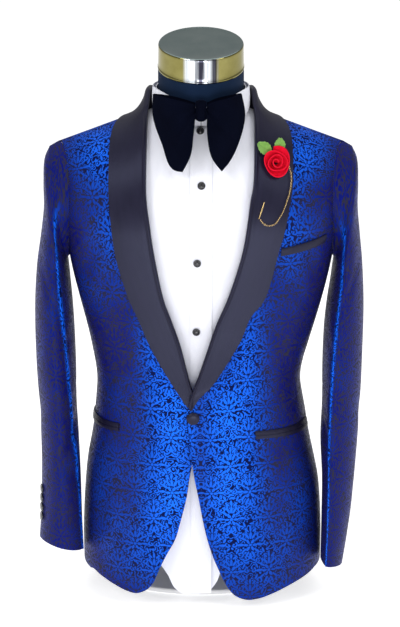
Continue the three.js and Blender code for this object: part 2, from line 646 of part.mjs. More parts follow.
// The shawl collar
// Each section starts at a seam on the coat, stands up from it, turns over the roll and falls on the coat.
// Lapel sections are given as seen from ahead: the roll's and the outer edge's x and z.
const LEFT_LAPEL = table("order rollX rollZ outerX outerZ rise", [
  [0, -19, 343, -14, 338, 3.2],
  [1, -17, 354, -2, 358, 4.2],
  [2, -12.2, 370, 14.5, 375, 4.8],
  [3, -4.7, 391.5, 35, 404.5, 5.1],
  [4, 7.5, 428, 59, 444.5, 5.1],
  [5, 21, 468, 74, 481, 5.1],
  [6, 40, 513, 96.5, 512, 5.1],
  [7, 58, 570, 114.5, 579, 5.1],
  [8, 66.5, 615, 124, 614, 5.3],
  [9, 72, 656, 131, 650, 5.8],
  [10, 77, 690, 135, 680, 7.5],
]);
const RIGHT_LAPEL = table("order rollX rollZ outerX outerZ rise", [
  [0, -1.5, 334, 4, 322, 3.0],
  [1, 4.5, 350, 20, 340, 3.4],
  [2, 14.3, 374, 38, 368, 4.2],
  [3, 20.5, 399, 58, 401, 5.1],
  [4, 30.5, 439, 79, 441, 5.1],
  [5, 44, 478, 92, 473, 5.1],
  [6, 56, 513, 109, 512, 5.1],
  [7, 67.4, 570, 125.5, 568.5, 5.1],
  [8, 74, 615, 132, 614, 5.3],
  [9, 79, 653, 135, 647, 5.8],
  [10, 80, 688, 136, 680, 7.5],
]);
// Neck sections are given on the coat's shoulders: x, and how far behind the shoulder's ridge.
const COLLAR_NECK = table("order seamX seamBehind outerX outerBehind rise lean", [
  [11, 79, -52, 135, -72, 10, 0.5],
  [12, 79, -32, 131, -40, 16, 1.5],
  [13, 79, -14, 124, -14, 22.5, 2.5],
  [14, 79, 2, 117, 8, 28, 3],
  [15, 78, 24, 112, 34, 33, 2],
  [16, 70, 52, 98, 66, 37, 0],
  [17, 52, 72, 72, 90, 40, -1],
  [18, 27, 83, 37, 103, 42, -1],
  [19, 0.2, 87, 0.2, 108, 43, -1],
]);
const FALL_HEIGHT = 2.9;

// A point of the coat by x and by how far behind the ridge it lies, pushed out by `out`.
function overShoulder(layer, x, behind, out) {
  const climb = TOP_CLIMB - Math.abs(behind);
  const front = turnAt(layer, x, climb);
  return bodyPointOut(layer, behind > 0 ? Math.PI - front : front, climb, out);
}
const behindAt = (layer, x, z) => frontPlace(layer, x, z)[1] - TOP_CLIMB;

function collarPlaces(lapel, layer) {
  const lapelRows = lapel.keys.map((order) => {
    const [x, z, outerX, outerZ] = ["rollX", "rollZ", "outerX", "outerZ"].map((c) => lapel.columns[c][order]);
    const rise = lapel.columns.rise[order];
    return [order, x + 0.5, behindAt(layer, x, z), outerX, behindAt(layer, outerX, outerZ), rise, 0];
  });
  const neckRows = COLLAR_NECK.keys.map((order, i) =>
    [order, ...["seamX", "seamBehind", "outerX", "outerBehind", "rise", "lean"].map((c) =>
      COLLAR_NECK.columns[c][i])]);
  return table("order seamX seamBehind outerX outerBehind rise lean", [...lapelRows, ...neckRows]);
}

const COLLAR_FALLS = [0.14, 0.32, 0.55, 0.78, 1];
function collarSection(layer, places, order, lift) {
  const now = (column) => read(places, column, order);
  const neckShare = smooth((order - 9.5) / 3);
  const stands = mix(0.2, 0.6, neckShare);
  const liftAt = (x, behind) => {
    const p = overShoulder(layer, x, behind, 0);
    return lift(p.x, p.z);
  };
  const base = overShoulder(layer, now("seamX"), now("seamBehind"), liftAt(now("seamX"), now("seamBehind")));
  const outer = overShoulder(layer, now("outerX"), now("outerBehind"), 0);
  const normal = overShoulder(layer, now("seamX"), now("seamBehind"), 10)
    .sub(overShoulder(layer, now("seamX"), now("seamBehind"), 0)).normalize();
  const up = normal.clone().lerp(new THREE.Vector3(0, 0, 1), neckShare).normalize();
  const away = outer.clone().sub(base);
  away.addScaledVector(up, -away.dot(up));
  away.normalize();
  const rise = now("rise");
  const lean = now("lean");
  const at = (height, sideways) => base.clone()
    .addScaledVector(up, stands + height * rise)
    .addScaledVector(away, sideways - lean * height);
  const start = rise > 8 ? 1 - 3 / rise : 0.55;
  const points = [at(0, 0), at(start * 0.5, -0.2 * (1 - neckShare)), at(start, 0), at(1, 2.6)];
  const turned = at(1 - 2.4 / Math.max(rise, 5), 5.4);
  points.push(turned);
  const seamX = mix(now("seamX"), now("outerX"), 0.1);
  const seamBehind = mix(now("seamBehind"), now("outerBehind"), 0.1);
  const foot = overShoulder(layer, seamX, seamBehind, FALL_HEIGHT + liftAt(seamX, seamBehind));
  const raised = turned.clone().sub(foot);
  for (const share of COLLAR_FALLS) {
    const x = mix(seamX, now("outerX"), share);
    const behind = mix(seamBehind, now("outerBehind"), share);
    const fade = Math.max(0, 1 - share / 0.8) ** mix(2, 2.8, neckShare);
    const resting = overShoulder(layer, x, behind, FALL_HEIGHT + liftAt(x, behind));
    points.push(resting.addScaledVector(raised, fade));
  }
  return points;
}
const COLLAR_ROWS = [
  0, 1, 2, 2.5, 3, 3.5, 4, 5, 6, 7, 8, 9, 9.5, 10, 10.5, 11, 11.5, 12, 13, 14, 15, 16, 17, 18, 19];
const collarGrid = (layer, lapel, lift) => {
  const places = collarPlaces(lapel, layer);
  return COLLAR_ROWS.map((order) => collarSection(layer, places, order, lift));
};
const leftCollar = collarGrid(JACKET, LEFT_LAPEL, overlapLift);
addPiece("shawl_collar_left", clothBehind(leftCollar, SATIN_CLOTH, true), SATIN);
addPiece("shawl_collar_right",
  clothBehind(mirroredGrid(collarGrid(JACKET_RIGHT, RIGHT_LAPEL, noLift)), SATIN_CLOTH, true), SATIN);

// Satin strips on the coat: the hip pockets' jettings and the breast welt.
// Each lies on the coat between two turns, from a lower edge to an upper one.
function strip(layer, { fromTurn, toTurn, fromLow, toLow, fromHigh, toHigh, bulge, lift = noLift }) {
  return (u, v, inset) => {
    const turn = mix(fromTurn, toTurn, u) * DEGREE;
    const climb = mix(mix(fromLow, toLow, u), mix(fromHigh, toHigh, u), v);
    const seen = bodyPoint(layer, turn, climb);
    const rounded = bulge * Math.sin(Math.PI * v) ** 0.7;
    const out = 2.1 + lift(seen.x, seen.z) + (inset > 0 ? -1.4 : rounded);
    return bodyPointOut(layer, turn, climb, out);
  };
}
const HIP_POCKET_LEFT = { fromTurn: 27.5, toTurn: 80, fromLow: 286, toLow: 276, fromHigh: 298.5, toHigh: 291,
  bulge: 1 };
const HIP_POCKET_RIGHT = { fromTurn: 45, toTurn: 97, fromLow: 291, toLow: 281, fromHigh: 304, toHigh: 296,
  bulge: 1 };
const BREAST_WELT = { fromTurn: 30.5, toTurn: 58.5, fromLow: 573, toLow: 585, fromHigh: 585, toHigh: 598,
  bulge: 0.8 };
addPiece("hip_pocket_left", clothGrid(strip(JACKET, HIP_POCKET_LEFT), 8, 3, 1), SATIN);
addPiece("hip_pocket_right", clothGrid(mirrored(strip(JACKET_RIGHT, HIP_POCKET_RIGHT)), 8, 3, 1), SATIN);
addPiece("breast_welt", clothGrid(strip(JACKET, BREAST_WELT), 5, 3, 1), SATIN);

// Round trims, turned about an axis. profile is a list of radius and height from the cloth outwards.
function turned(profile, at, axis, sides) {
  const rings = profile.map(([radius, height]) => {
    const ring = [];
    for (let i = 0; i < sides; i++) {
      const angle = (2 * Math.PI * i) / sides;
      ring.push(new THREE.Vector3(radius * Math.cos(angle), radius * Math.sin(angle), height));
    }
    return ring;
  });
  const facing = new THREE.Quaternion().setFromUnitVectors(new THREE.Vector3(0, 0, 1), axis);
  return stackedRings(rings).applyQuaternion(facing).translate(at.x, at.y, at.z);
}
function onFront(layer, x, z, out) {
  const [turn, climb] = frontPlace(layer, x, z);
  return [bodyPointOut(layer, turn, climb, out), bodyNormal(layer, turn, climb)];
}
const COVERED_BUTTON = [[6, 0], [9.2, 1.2], [10, 2.6], [8.6, 4.6], [5, 5.9], [1.5, 6.2]];
const SLEEVE_BUTTON = [[5.8, 0], [7.2, 1], [7, 2.3], [4.6, 3.1]];
const SHIRT_STUD = [[4.4, 0], [5.9, 1.3], [5.2, 3.1], [2.6, 4.2]];
const buttonPlace = onFront(JACKET, -11.8, 326, OVERLAP_LIFT + 0.35);
addPiece("front_button", turned(COVERED_BUTTON, ...buttonPlace, 14), SATIN);

// Four buttons stand in a touching row up each cuff.
const BUTTON_PITCH = 15.2;
const LEFT_BUTTON_FROM_HEM = 22;
const RIGHT_BUTTON_FROM_HEM = 40;
function cuffButton(sections, around, fromHem, number, mirror) {
  const cuff = read(sections, "outerZ", SLEEVE_ORDER);
  const heightAt = (order) => -sleevePoint(JACKET, JACKET_ARMHOLE, sections, around, order, 0).z;
  const order = solve(heightAt, -(cuff + fromHem + BUTTON_PITCH * number), 7, SLEEVE_ORDER);
  const at = sleevePoint(JACKET, JACKET_ARMHOLE, sections, around, order, 0);
  const across = sleevePoint(JACKET, JACKET_ARMHOLE, sections, around + 0.05, order, 0).sub(at);
  const upwards = sleevePoint(JACKET, JACKET_ARMHOLE, sections, around, order - 0.1, 0).sub(at);
  const axis = across.cross(upwards).normalize();
  at.addScaledVector(axis, 0.4);
  if (mirror) {
    at.x = -at.x;
    axis.x = -axis.x;
  }
  return turned(SLEEVE_BUTTON, at, axis, 9);
}
const LEFT_BUTTON_PLACE = 52 * DEGREE;
const RIGHT_BUTTON_PLACE = -24 * DEGREE;
for (let number = 0; number < 4; number++) {
  addPiece(`cuff_button_left_${number + 1}`,
    cuffButton(LEFT_SLEEVE, LEFT_BUTTON_PLACE, LEFT_BUTTON_FROM_HEM, number, false), STUD);
  addPiece(`cuff_button_right_${number + 1}`,
    cuffButton(RIGHT_SLEEVE, RIGHT_BUTTON_PLACE, RIGHT_BUTTON_FROM_HEM, number, true), STUD);
}

// The shirt: two fronts, one back, two plain sleeves, a placket, a stand and a turned-down collar.
const SHIRT_RIDGE = TOP_CLIMB - 0.45;
const SHIRT_NECK = 69;
const SHIRT_SIDE_HEM = 103;
const SHIRT_THROAT = TOP_CLIMB - 84;
const SHIRT_NAPE = TOP_CLIMB - 86;
const shirtHem = (places) =>
  curveThrough(places.map(([turn, climb]) => [turn * DEGREE * ROUND_A_BODY, climb]));
const LEFT_SHIRT_HEM = shirtHem([
  [0, 24], [4, 28], [7, 40], [9.5, 62], [14, 82], [60, 95], [90, SHIRT_SIDE_HEM]]);
const RIGHT_SHIRT_HEM = shirtHem([
  [0, 23], [8, 23], [12, 31], [16, 54], [22, 78], [34, 88], [60, 95], [90, SHIRT_SIDE_HEM]]);
const SHIRT_BACK_HEM = shirtHem([[90, SHIRT_SIDE_HEM], [118, 84], [145, 56], [180, 40]]);
const SHIRT_SEAM_ROWS = 11;
const SHIRT_HOLE_ROWS = 6;
const SHIRT_ROWS = SHIRT_SEAM_ROWS + SHIRT_HOLE_ROWS;
const SHIRT_LINES = [...evenly(SHIRT_ROWS).filter((_, j) => j % 2 === 0 || j > 6).slice(0, -1),
  1 - 0.4 / SHIRT_ROWS, 1];
const shirtNeckTurn = turnAt(SHIRT, SHIRT_NECK, SHIRT_RIDGE);
const SHIRT_NECK_FRONT = curveThrough([
  [0, SHIRT_THROAT],
  [turnAt(SHIRT, 30, TOP_CLIMB - 76) * ROUND_A_BODY, TOP_CLIMB - 76],
  [turnAt(SHIRT, 61, TOP_CLIMB - 42) * ROUND_A_BODY, TOP_CLIMB - 42],
  [shirtNeckTurn * ROUND_A_BODY, SHIRT_RIDGE],
]);
const SHIRT_NECK_BACK = curveThrough([
  [(Math.PI - shirtNeckTurn) * ROUND_A_BODY, SHIRT_RIDGE],
  [(Math.PI - turnAt(SHIRT, 61, TOP_CLIMB - 44)) * ROUND_A_BODY, TOP_CLIMB - 44],
  [(Math.PI - turnAt(SHIRT, 33, TOP_CLIMB - 76)) * ROUND_A_BODY, TOP_CLIMB - 76],
  [Math.PI * ROUND_A_BODY, SHIRT_NAPE],
]);
// The side border of a shirt panel: up the side seam, then round the armhole to the shoulder.
function shirtSide(hem, from, to, v) {
  const share = SHIRT_SEAM_ROWS / SHIRT_ROWS;
  if (v <= share) return [Math.PI / 2 * ROUND_A_BODY, mix(hem, SHIRT_ARMHOLE.bottom, v / share)];
  const [turn, climb] = armholePlace(SHIRT_ARMHOLE, mix(from, to, (v - share) / (1 - share)));
  return [turn * ROUND_A_BODY, climb];
}
const SHIRT_FRONT_COLUMNS = 6;
const SHIRT_BACK_COLUMNS = 10;
const shirtFrontCut = (hem) => patch(
  hem,
  (u) => {
    if (u <= 0.5) return SHIRT_NECK_FRONT(u / 0.5);
    const share = (u - 0.5) / 0.5;
    return [mix(shirtNeckTurn, Math.PI / 2, share) * ROUND_A_BODY,
      mix(SHIRT_RIDGE, SHIRT_ARMHOLE.top, share ** 3)];
  },
  (v) => [0, mix(hem(0)[1], SHIRT_THROAT, v)],
  (v) => shirtSide(SHIRT_SIDE_HEM, Math.PI, 2 * Math.PI, v),
  (u) => u ** 2.4);
const shirtFront = (layer, hem) => {
  const cut = shirtFrontCut(hem);
  return (u, v, inset) => shirtFrontPoint(layer, cut(u, v), u, inset);
};
function shirtFrontPoint(layer, [along, climb], u, inset) {
  const turn = along / ROUND_A_BODY - HALF_GAP_TURN * u;
  const point = seamPoint(layer, turn, climb, -inset);
  point.x = Math.max(point.x, SEAM_GAP / 2);
  return point;
}
const shirtFrontShape = [SHIRT_FRONT_COLUMNS, SHIRT_LINES, SHIRT_CLOTH];
addPiece("shirt_front_left", clothGrid(shirtFront(SHIRT, LEFT_SHIRT_HEM), ...shirtFrontShape), SHIRTING);
// The right front's rows run downwards, which turns its mirrored side out again.
const SIDE_TO_SIDE = new THREE.Vector3(-1, 1, 1);
const rightShirtFront = shirtFront(SHIRT_RIGHT, RIGHT_SHIRT_HEM);
const mirroredShirtFront = (u, v, inset) => rightShirtFront(u, v, inset).multiply(SIDE_TO_SIDE);
addPiece("shirt_front_right",
  clothGrid(mirroredShirtFront, SHIRT_FRONT_COLUMNS, [...SHIRT_LINES].reverse(), SHIRT_CLOTH), SHIRTING);

const shirtBackHalf = patch(
  SHIRT_BACK_HEM,
  (u) => {
    if (u >= 0.6) return SHIRT_NECK_BACK((u - 0.6) / 0.4);
    const share = 1 - u / 0.6;
    return [mix(Math.PI - shirtNeckTurn, Math.PI / 2, share) * ROUND_A_BODY,
      mix(SHIRT_RIDGE, SHIRT_ARMHOLE.top, share ** 3)];
  },
  (v) => shirtSide(SHIRT_SIDE_HEM, Math.PI, 0, v),
  (v) => [Math.PI * ROUND_A_BODY, mix(40, SHIRT_NAPE, v)]);
const shirtBack = (u, v, inset) => {
  const half = u <= 0.5 ? u * 2 : (1 - u) * 2;
  const [along, climb] = shirtBackHalf(half, v);
  const turn = along / ROUND_A_BODY + HALF_GAP_TURN * (1 - half);
  const point = seamPoint(u <= 0.5 ? SHIRT : SHIRT_RIGHT, turn, climb, -inset);
  if (u > 0.5) point.x = -point.x;
  return point;
};
addPiece("shirt_back", clothGrid(shirtBack, SHIRT_BACK_COLUMNS, SHIRT_LINES, SHIRT_CLOTH), SHIRTING);

// The placket lies on the left front and closes over the right one.
const PLACKET_HALF = 16;
const placket = (u, v, inset) => {
  const climb = mix(25, SHIRT_THROAT - 1.5, v);
  const turn = turnAt(SHIRT, mix(-PLACKET_HALF, PLACKET_HALF, u), climb);
  return bodyPointOut(SHIRT, turn, climb, 2 - inset);
};
addPiece("shirt_placket", clothGrid(placket, 2, SHIRT_LINES, 1.1), SHIRTING);
const STUD_PLACES = [
  [-1, 753, 2.4], [0.6, 678, 1.1], [-5.7, 563, 2.4], [-7, 456, 2.4], [-5, 345, 2.4], [-4, 236, 2.4]];
STUD_PLACES.forEach(([x, z, out], i) => {
  addPiece(`stud_${i + 1}`, turned(SHIRT_STUD, ...onFront(SHIRT, x, z, out), 8), STUD);
});

const SHIRT_SLEEVE_TURNS = [];
for (let i = 0; i <= 2 * SHIRT_HOLE_ROWS; i++) SHIRT_SLEEVE_TURNS.push((Math.PI * i) / SHIRT_HOLE_ROWS);
const SHIRT_SLEEVE_ROWS = [11.75, 10, 8.5, 7, 5, 3, 1.5, 0, -1];
const SLEEVE_INSET = 7.5;
function shirtSleeve(sections, mirror) {
  const side = (inset) => SHIRT_SLEEVE_ROWS.map((order) => {
    const line = SHIRT_SLEEVE_TURNS.map((around) => {
      const depth = inset + SLEEVE_INSET * smooth(order + 1);
      const p = sleevePoint(SHIRT, SHIRT_ARMHOLE, sections, around, order, depth);
      return mirror ? new THREE.Vector3(-p.x, p.y, p.z) : p;
    });
    return mirror ? line.reverse() : line;
  });
  return solidBetween(side(0), side(SHIRT_CLOTH), true);
}
addPiece("shirt_sleeve_left", shirtSleeve(LEFT_SLEEVE, false), SHIRTING);
addPiece("shirt_sleeve_right", shirtSleeve(RIGHT_SLEEVE, true), SHIRTING);

// Rings round the neck: turn 0 is the front's middle. Radii and heights are those in front, at the sides
// and behind.
const NECK_MIDDLE = 4.5;
function neckPoint(turn, radii, heights, inset = 0) {
  const ahead = Math.cos(turn);
  const at = ([front, side, back]) => side + ((ahead > 0 ? front : back) - side) * Math.abs(ahead) ** 1.6;
  const radius = at(radii) - inset;
  return new THREE.Vector3(radius * Math.sin(turn), NECK_MIDDLE - radius * ahead, at(heights));
}
const between = (low, high, share) => low.map((value, i) => mix(value, high[i], share));
const COLLAR_OPENING = 3 * DEGREE;
const neckTurn = (u) => mix(COLLAR_OPENING, 2 * Math.PI - COLLAR_OPENING, u);
const STAND_FOOT = [761, 778.1, 761.5];
const STAND_LOW_RADII = [62, 69.6, 70];
const STAND_TOP_RADII = [65.8, 67.9, 68.2];
const STAND_TOP = [790, 808.5, 820];
const shirtStand = (u, v, inset) => neckPoint(
  neckTurn(u), between(STAND_LOW_RADII, STAND_TOP_RADII, v), between(STAND_FOOT, STAND_TOP, v), inset);
addPiece("shirt_stand", clothGrid(shirtStand, 20, 1, SHIRT_CLOTH), SHIRTING);

// The bow's band goes round the neck under the collar's leaf.
const BAND_LOW = [772, 787, 796];
const BAND_HIGH = [788, 803, 812];
const BAND_RADII = [68.4, 70.5, 70.8];
const tieBand = (u, v, inset) => neckPoint(neckTurn(u), BAND_RADII, between(BAND_LOW, BAND_HIGH, v), inset);
addPiece("tie_band", clothGrid(tieBand, 20, 1, 1.4), VELVET);

// The leaf turns over the band. Its two points reach down at the front.
const LEAF_OPENING = 10 * DEGREE;
const leafTurn = (u) => mix(LEAF_OPENING, 2 * Math.PI - LEAF_OPENING, u);
const LEAF_FOOT = [748, 783, 787];
const LEAF_TOP = [792, 810.5, 822];
const LEAF_RADII = [70.4, 72.4, 72.7];
function leafPoint(u, v, inset) {
  const turn = leafTurn(u);
  const ahead = Math.max(0, Math.cos(turn));
  const flare = (1 - v) * (1 + 9 * ahead ** 1.5);
  return neckPoint(turn, LEAF_RADII, between(LEAF_FOOT, LEAF_TOP, v), inset - flare);
}
addPiece("shirt_leaf", clothGrid(leafPoint, 20, 2, SHIRT_CLOTH), SHIRTING);

// The velvet bow. Each wing is one wide strip that goes out from the knot, folds at its end and comes back
// behind itself. Its front half is given by four border curves as seen from ahead.
const TIE_FRONT = -71.6;
const TIE_SLOPE = 0.3;
function tieWing(bottom, top, fold, knot, belly) {
  const seen = patch(bottom, top, knot, fold);
  return (u, v) => {
    const front = u <= 0.5;
    const share = front ? u * 2 : (1 - u) * 2;
    const [x, z] = seen(share, v);
    const hang = TIE_FRONT - (790 - z) * TIE_SLOPE + 20 * (x / 70) ** 2 * clamp((z - 700) / 114, 0, 1);
    const puff = belly * Math.sin(Math.PI * Math.min(1, share * 0.97)) ** 0.75;
    const pleats = 2.2 * (1 - share) * Math.cos(v * 6 * Math.PI) * share ** 0.3;
    const layer = front ? -4.5 - puff - pleats : 4.5 + puff * 0.15 * (1 - v);
    return new THREE.Vector3(x, hang + layer * (1 - share ** 8 * 0.6), z);
  };
}
const leftWing = tieWing(
  curveThrough([[8.5, 777], [9, 755], [16, 724], [30.5, 702]]),
  curveThrough([[8.5, 797], [20, 806], [38, 811], [59, 814]]),
  curveThrough([[30.5, 702], [41, 714], [57, 745], [65, 781], [59, 814]]),
  curveThrough([[8.5, 777], [8.5, 797]]), 13);
const rightWing = tieWing(
  curveThrough([[8.5, 776], [11, 755], [15, 728], [27, 701]]),
  curveThrough([[8.5, 797], [22, 806], [45, 813], [71, 814]]),
  curveThrough([[27, 701], [38, 703], [58, 741], [71.5, 781], [71, 814]]),
  curveThrough([[8.5, 776], [8.5, 797]]), 13);
addPiece("tie_wing_left", clothBehind(gridOf(leftWing, 12, 6), VELVET_CLOTH), VELVET);
addPiece("tie_wing_right", clothBehind(mirroredGrid(gridOf(rightWing, 12, 6)), VELVET_CLOTH), VELVET);

// The knot wraps the wings' narrow ends and the band.
const knotRing = (half, depth, z, y) => {
  const ring = [];
  for (let i = 0; i < 12; i++) {
    const angle = (2 * Math.PI * i) / 12;
    ring.push(new THREE.Vector3(half * Math.cos(angle), y + depth * Math.sin(angle), z));
  }
  return ring;
};
addPiece("tie_knot", stackedRings([
  knotRing(4.5, 5, 772, TIE_FRONT - 4.5), knotRing(7.4, 8, 774, TIE_FRONT - 4.5),
  knotRing(8, 9.5, 780, TIE_FRONT - 4), knotRing(7.8, 10, 788, TIE_FRONT - 2.5),
  knotRing(8, 9.5, 796, TIE_FRONT - 1), knotRing(7.4, 8, 800.5, TIE_FRONT),
  knotRing(4.5, 5, 802, TIE_FRONT)]), VELVET);

// The tailor's form: a smooth limbless body and neck of jersey over a shell, with a turned metal cap.
function bodySection(layer, climb, sides) {
  const ring = [];
  for (let i = 0; i < sides; i++) ring.push(bodyPoint(layer, (2 * Math.PI * i) / sides, climb));
  return ring;
}
const FORM_SIDES = 22;
const FORM_CLIMBS = [108, 150, 220, 285, 350, 415, 475, 535, 600, 650, 700, 740, 768, 785, TOP_CLIMB - 0.3];
const NECK_TILT = 14 * DEGREE;
function neckRing(radius, y, z, tilt, sides) {
  const ring = [];
  for (let i = 0; i < sides; i++) {
    const angle = (2 * Math.PI * i) / sides;
    const across = radius * Math.sin(angle);
    const ahead = radius * Math.cos(angle);
    ring.push(new THREE.Vector3(across, y - ahead * Math.cos(tilt), z - ahead * Math.sin(tilt)));
  }
  return ring;
}
const manifoldOf = (geometry) => new wasm.Manifold(new wasm.Mesh({
  numProp: 3,
  vertProperties: Float32Array.from(geometry.attributes.position.array),
  triVerts: Uint32Array.from(geometry.index.array),
}));
const formTorso = stackedRings(FORM_CLIMBS.map((climb) => bodySection(FORM, climb, FORM_SIDES)));
const CAP_FOOT = { y: 4, z: 838.6 };
const formNeck = stackedRings([
  neckRing(59, 9, 725, 0, FORM_SIDES),
  neckRing(60.5, 8, 766, 0, FORM_SIDES),
  neckRing(63, 6, 790, 2 * DEGREE, FORM_SIDES),
  neckRing(64.3, 5, 812, 6 * DEGREE, FORM_SIDES),
  neckRing(64.3, CAP_FOOT.y + 0.1, CAP_FOOT.z - 0.4, NECK_TILT, FORM_SIDES),
]);
const form = manifoldOf(formTorso).add(manifoldOf(formNeck)).getMesh();
addPiece("form_body", geometryOf(Array.from(form.vertProperties), Array.from(form.triVerts)), JERSEY);

const CAP_PROFILE = [[63.5, 0], [65.4, 1.5], [65.4, 12], [63.4, 14], [62.6, 30], [61.8, 35.4], [59.4, 38],
  [30, 38.6]];
addPiece("neck_cap", turned(CAP_PROFILE, new THREE.Vector3(0, CAP_FOOT.y, CAP_FOOT.z),
  new THREE.Vector3(0, -Math.sin(NECK_TILT), Math.cos(NECK_TILT)), 26), CHROME);

// The base: an oval plate on the floor and the column that carries the form.
const PLATE_TOP = 8;
const ovalRing = (halfWidth, halfDepth, z) => {
  const ring = [];
  for (let i = 0; i < 28; i++) {
    const angle = (2 * Math.PI * i) / 28;
    ring.push(new THREE.Vector3(halfWidth * Math.cos(angle), halfDepth * Math.sin(angle), z));
  }
  return ring;
};
addPiece("base_plate",
  stackedRings([ovalRing(135, 70, 0), ovalRing(135, 70, 5.5), ovalRing(132.5, 67.5, PLATE_TOP)]),
  WHITE_PAINT, tuxedo);
const COLUMN_PROFILE = [[30, PLATE_TOP + 0.3], [30, 13], [17, 17], [17, 92], [30, 96], [30, 107.7]];
addPiece("column", turned(COLUMN_PROFILE, new THREE.Vector3(0, 0, 0), new THREE.Vector3(0, 0, 1), 16),
  WHITE_PAINT, tuxedo);

// The lapel pin: a felt rose wound from one strip, two felt leaves, and a fine chain to a small bar.
const ROSE_AT = overShoulder(JACKET, 107, behindAt(JACKET, 107, 705), 4.6);
const ROSE_AXIS = new THREE.Vector3(0.18, -0.93, 0.32).normalize();
function onPin(at, axis) {
  const facing = new THREE.Quaternion().setFromUnitVectors(new THREE.Vector3(0, 0, 1), axis);
  return (x, y, height) => new THREE.Vector3(x, y, height).applyQuaternion(facing).add(at);
}
const fromRose = onPin(ROSE_AT, ROSE_AXIS);
const ROSE_TURNS = 3.3;
const roseGrid = [];
const ROSE_LINES = table("share radius height flare", [
  [0, 0.55, 0.5, 0], [0.5, 0.92, 6.5, 0.6], [1, 1, 12.5, 1]]);
for (let j = 0; j <= 3; j++) {
  const line = [];
  for (let i = 0; i <= 36; i++) {
    const share = i / 36;
    const angle = share * ROSE_TURNS * 2 * Math.PI;
    const wave = Math.cos(angle * 2.5) * 1.1 * share;
    const radius = (2.6 + 17.2 * share ** 0.9) * read(ROSE_LINES, "radius", j / 3)
      + (wave + 1.4 * share) * read(ROSE_LINES, "flare", j / 3);
    const height = read(ROSE_LINES, "height", j / 3) * (1.12 - 0.42 * share);
    line.push(fromRose(radius * Math.cos(angle), radius * Math.sin(angle), height));
  }
  roseGrid.push(line);
}
addPiece("rose", clothBehind(roseGrid, 1.5), FELT_RED);

// A leaf from its stem to its tip, with a crease down its middle.
const leafOf = (stem, tip, broad, raised) => (u, v) => {
  const along = new THREE.Vector3().subVectors(tip, stem);
  const aside = along.clone().cross(ROSE_AXIS).normalize();
  const side = (u - 0.5) * 2;
  const width = broad * Math.sin(Math.PI * Math.min(0.97, v * 0.94 + 0.04)) ** 0.8;
  return stem.clone()
    .addScaledVector(along, v)
    .addScaledVector(aside, side * width)
    .addScaledVector(ROSE_AXIS, raised * Math.abs(side) + 3 * Math.sin(Math.PI * v));
};
const leafOne = leafOf(fromRose(-8, 12, 1.6), fromRose(-30, 25, 4), 9, 1.6);
const leafTwo = leafOf(fromRose(3, 17, 1.6), fromRose(2, 37, 5), 8, 1.6);
addPiece("rose_leaf_inner", clothBehind(gridOf(leafOne, 4, 6), 1.1), FELT_GREEN);
addPiece("rose_leaf_outer", clothBehind(gridOf(leafTwo, 4, 6), 1.1), FELT_GREEN);

// A round bar swept along a curve.
function sweep(curve, steps, radius, sides) {
  const rings = [];
  let aside = new THREE.Vector3(0.3, 1, 0.2);
  for (let i = 0; i <= steps; i++) {
    const [a, b] = [curve(Math.max(0, (i - 0.5) / steps)), curve(Math.min(1, (i + 0.5) / steps))];
    const along = new THREE.Vector3(...b).sub(new THREE.Vector3(...a)).normalize();
    aside = aside.addScaledVector(along, -aside.dot(along)).normalize();
    const up = along.clone().cross(aside);
    const middle = new THREE.Vector3(...curve(i / steps));
    const ring = [];
    for (let k = 0; k < sides; k++) {
      const angle = (2 * Math.PI * k) / sides;
      ring.push(middle.clone().addScaledVector(aside, radius * Math.cos(angle))
        .addScaledVector(up, radius * Math.sin(angle)));
    }
    rings.push(ring);
  }
  return stackedRings(rings);
}
const onLapel = (x, z, out) => overShoulder(JACKET, x, behindAt(JACKET, x, z), out).toArray();
const PIN_CHAIN = [[124.5, 706, 11], [130.5, 690, 8], [130, 672, 7], [124, 652, 7], [115.5, 634, 7.5],
  [104, 622, 8], [93, 623, 8], [85.9, 631.2, 5.8]];
const chainCurve = curveThrough(PIN_CHAIN.map(([x, z, out]) => onLapel(x, z, out)));
addPiece("pin_chain", sweep(chainCurve, 20, 0.9, 5), GOLD);
const PIN_BAR = [[84.2, 631.5, 5.9], [88, 642, 5.4], [92.5, 655, 4.9]];
addPiece("pin_bar", sweep(curveThrough(PIN_BAR.map(([x, z, out]) => onLapel(x, z, out))), 5, 1.1, 6), GOLD);

export default tuxedo;
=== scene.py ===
"""A one-button shawl-collar tuxedo, its white shirt, velvet bow and rose pin on a limbless tailor's form.

Each cloth piece is a surface of two parameters on a numpy grid, cut from one shape of the body by named
sections, and given its cloth's thickness. Lengths are in millimetres until a mesh is made.
"""

import bpy
import numpy as np
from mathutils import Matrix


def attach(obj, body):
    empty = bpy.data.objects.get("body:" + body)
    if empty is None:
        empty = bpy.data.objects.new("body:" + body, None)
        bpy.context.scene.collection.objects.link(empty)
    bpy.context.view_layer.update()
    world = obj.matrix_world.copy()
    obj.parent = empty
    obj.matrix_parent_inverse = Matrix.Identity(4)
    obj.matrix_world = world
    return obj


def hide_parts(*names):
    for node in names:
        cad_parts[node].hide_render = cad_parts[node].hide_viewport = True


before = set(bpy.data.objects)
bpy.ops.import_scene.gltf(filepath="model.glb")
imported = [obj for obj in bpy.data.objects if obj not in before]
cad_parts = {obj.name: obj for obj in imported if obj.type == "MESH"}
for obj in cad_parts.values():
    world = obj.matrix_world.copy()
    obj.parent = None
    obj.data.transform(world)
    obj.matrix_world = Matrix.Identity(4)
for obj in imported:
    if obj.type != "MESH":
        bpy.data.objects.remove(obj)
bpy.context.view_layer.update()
scene = bpy.context.scene

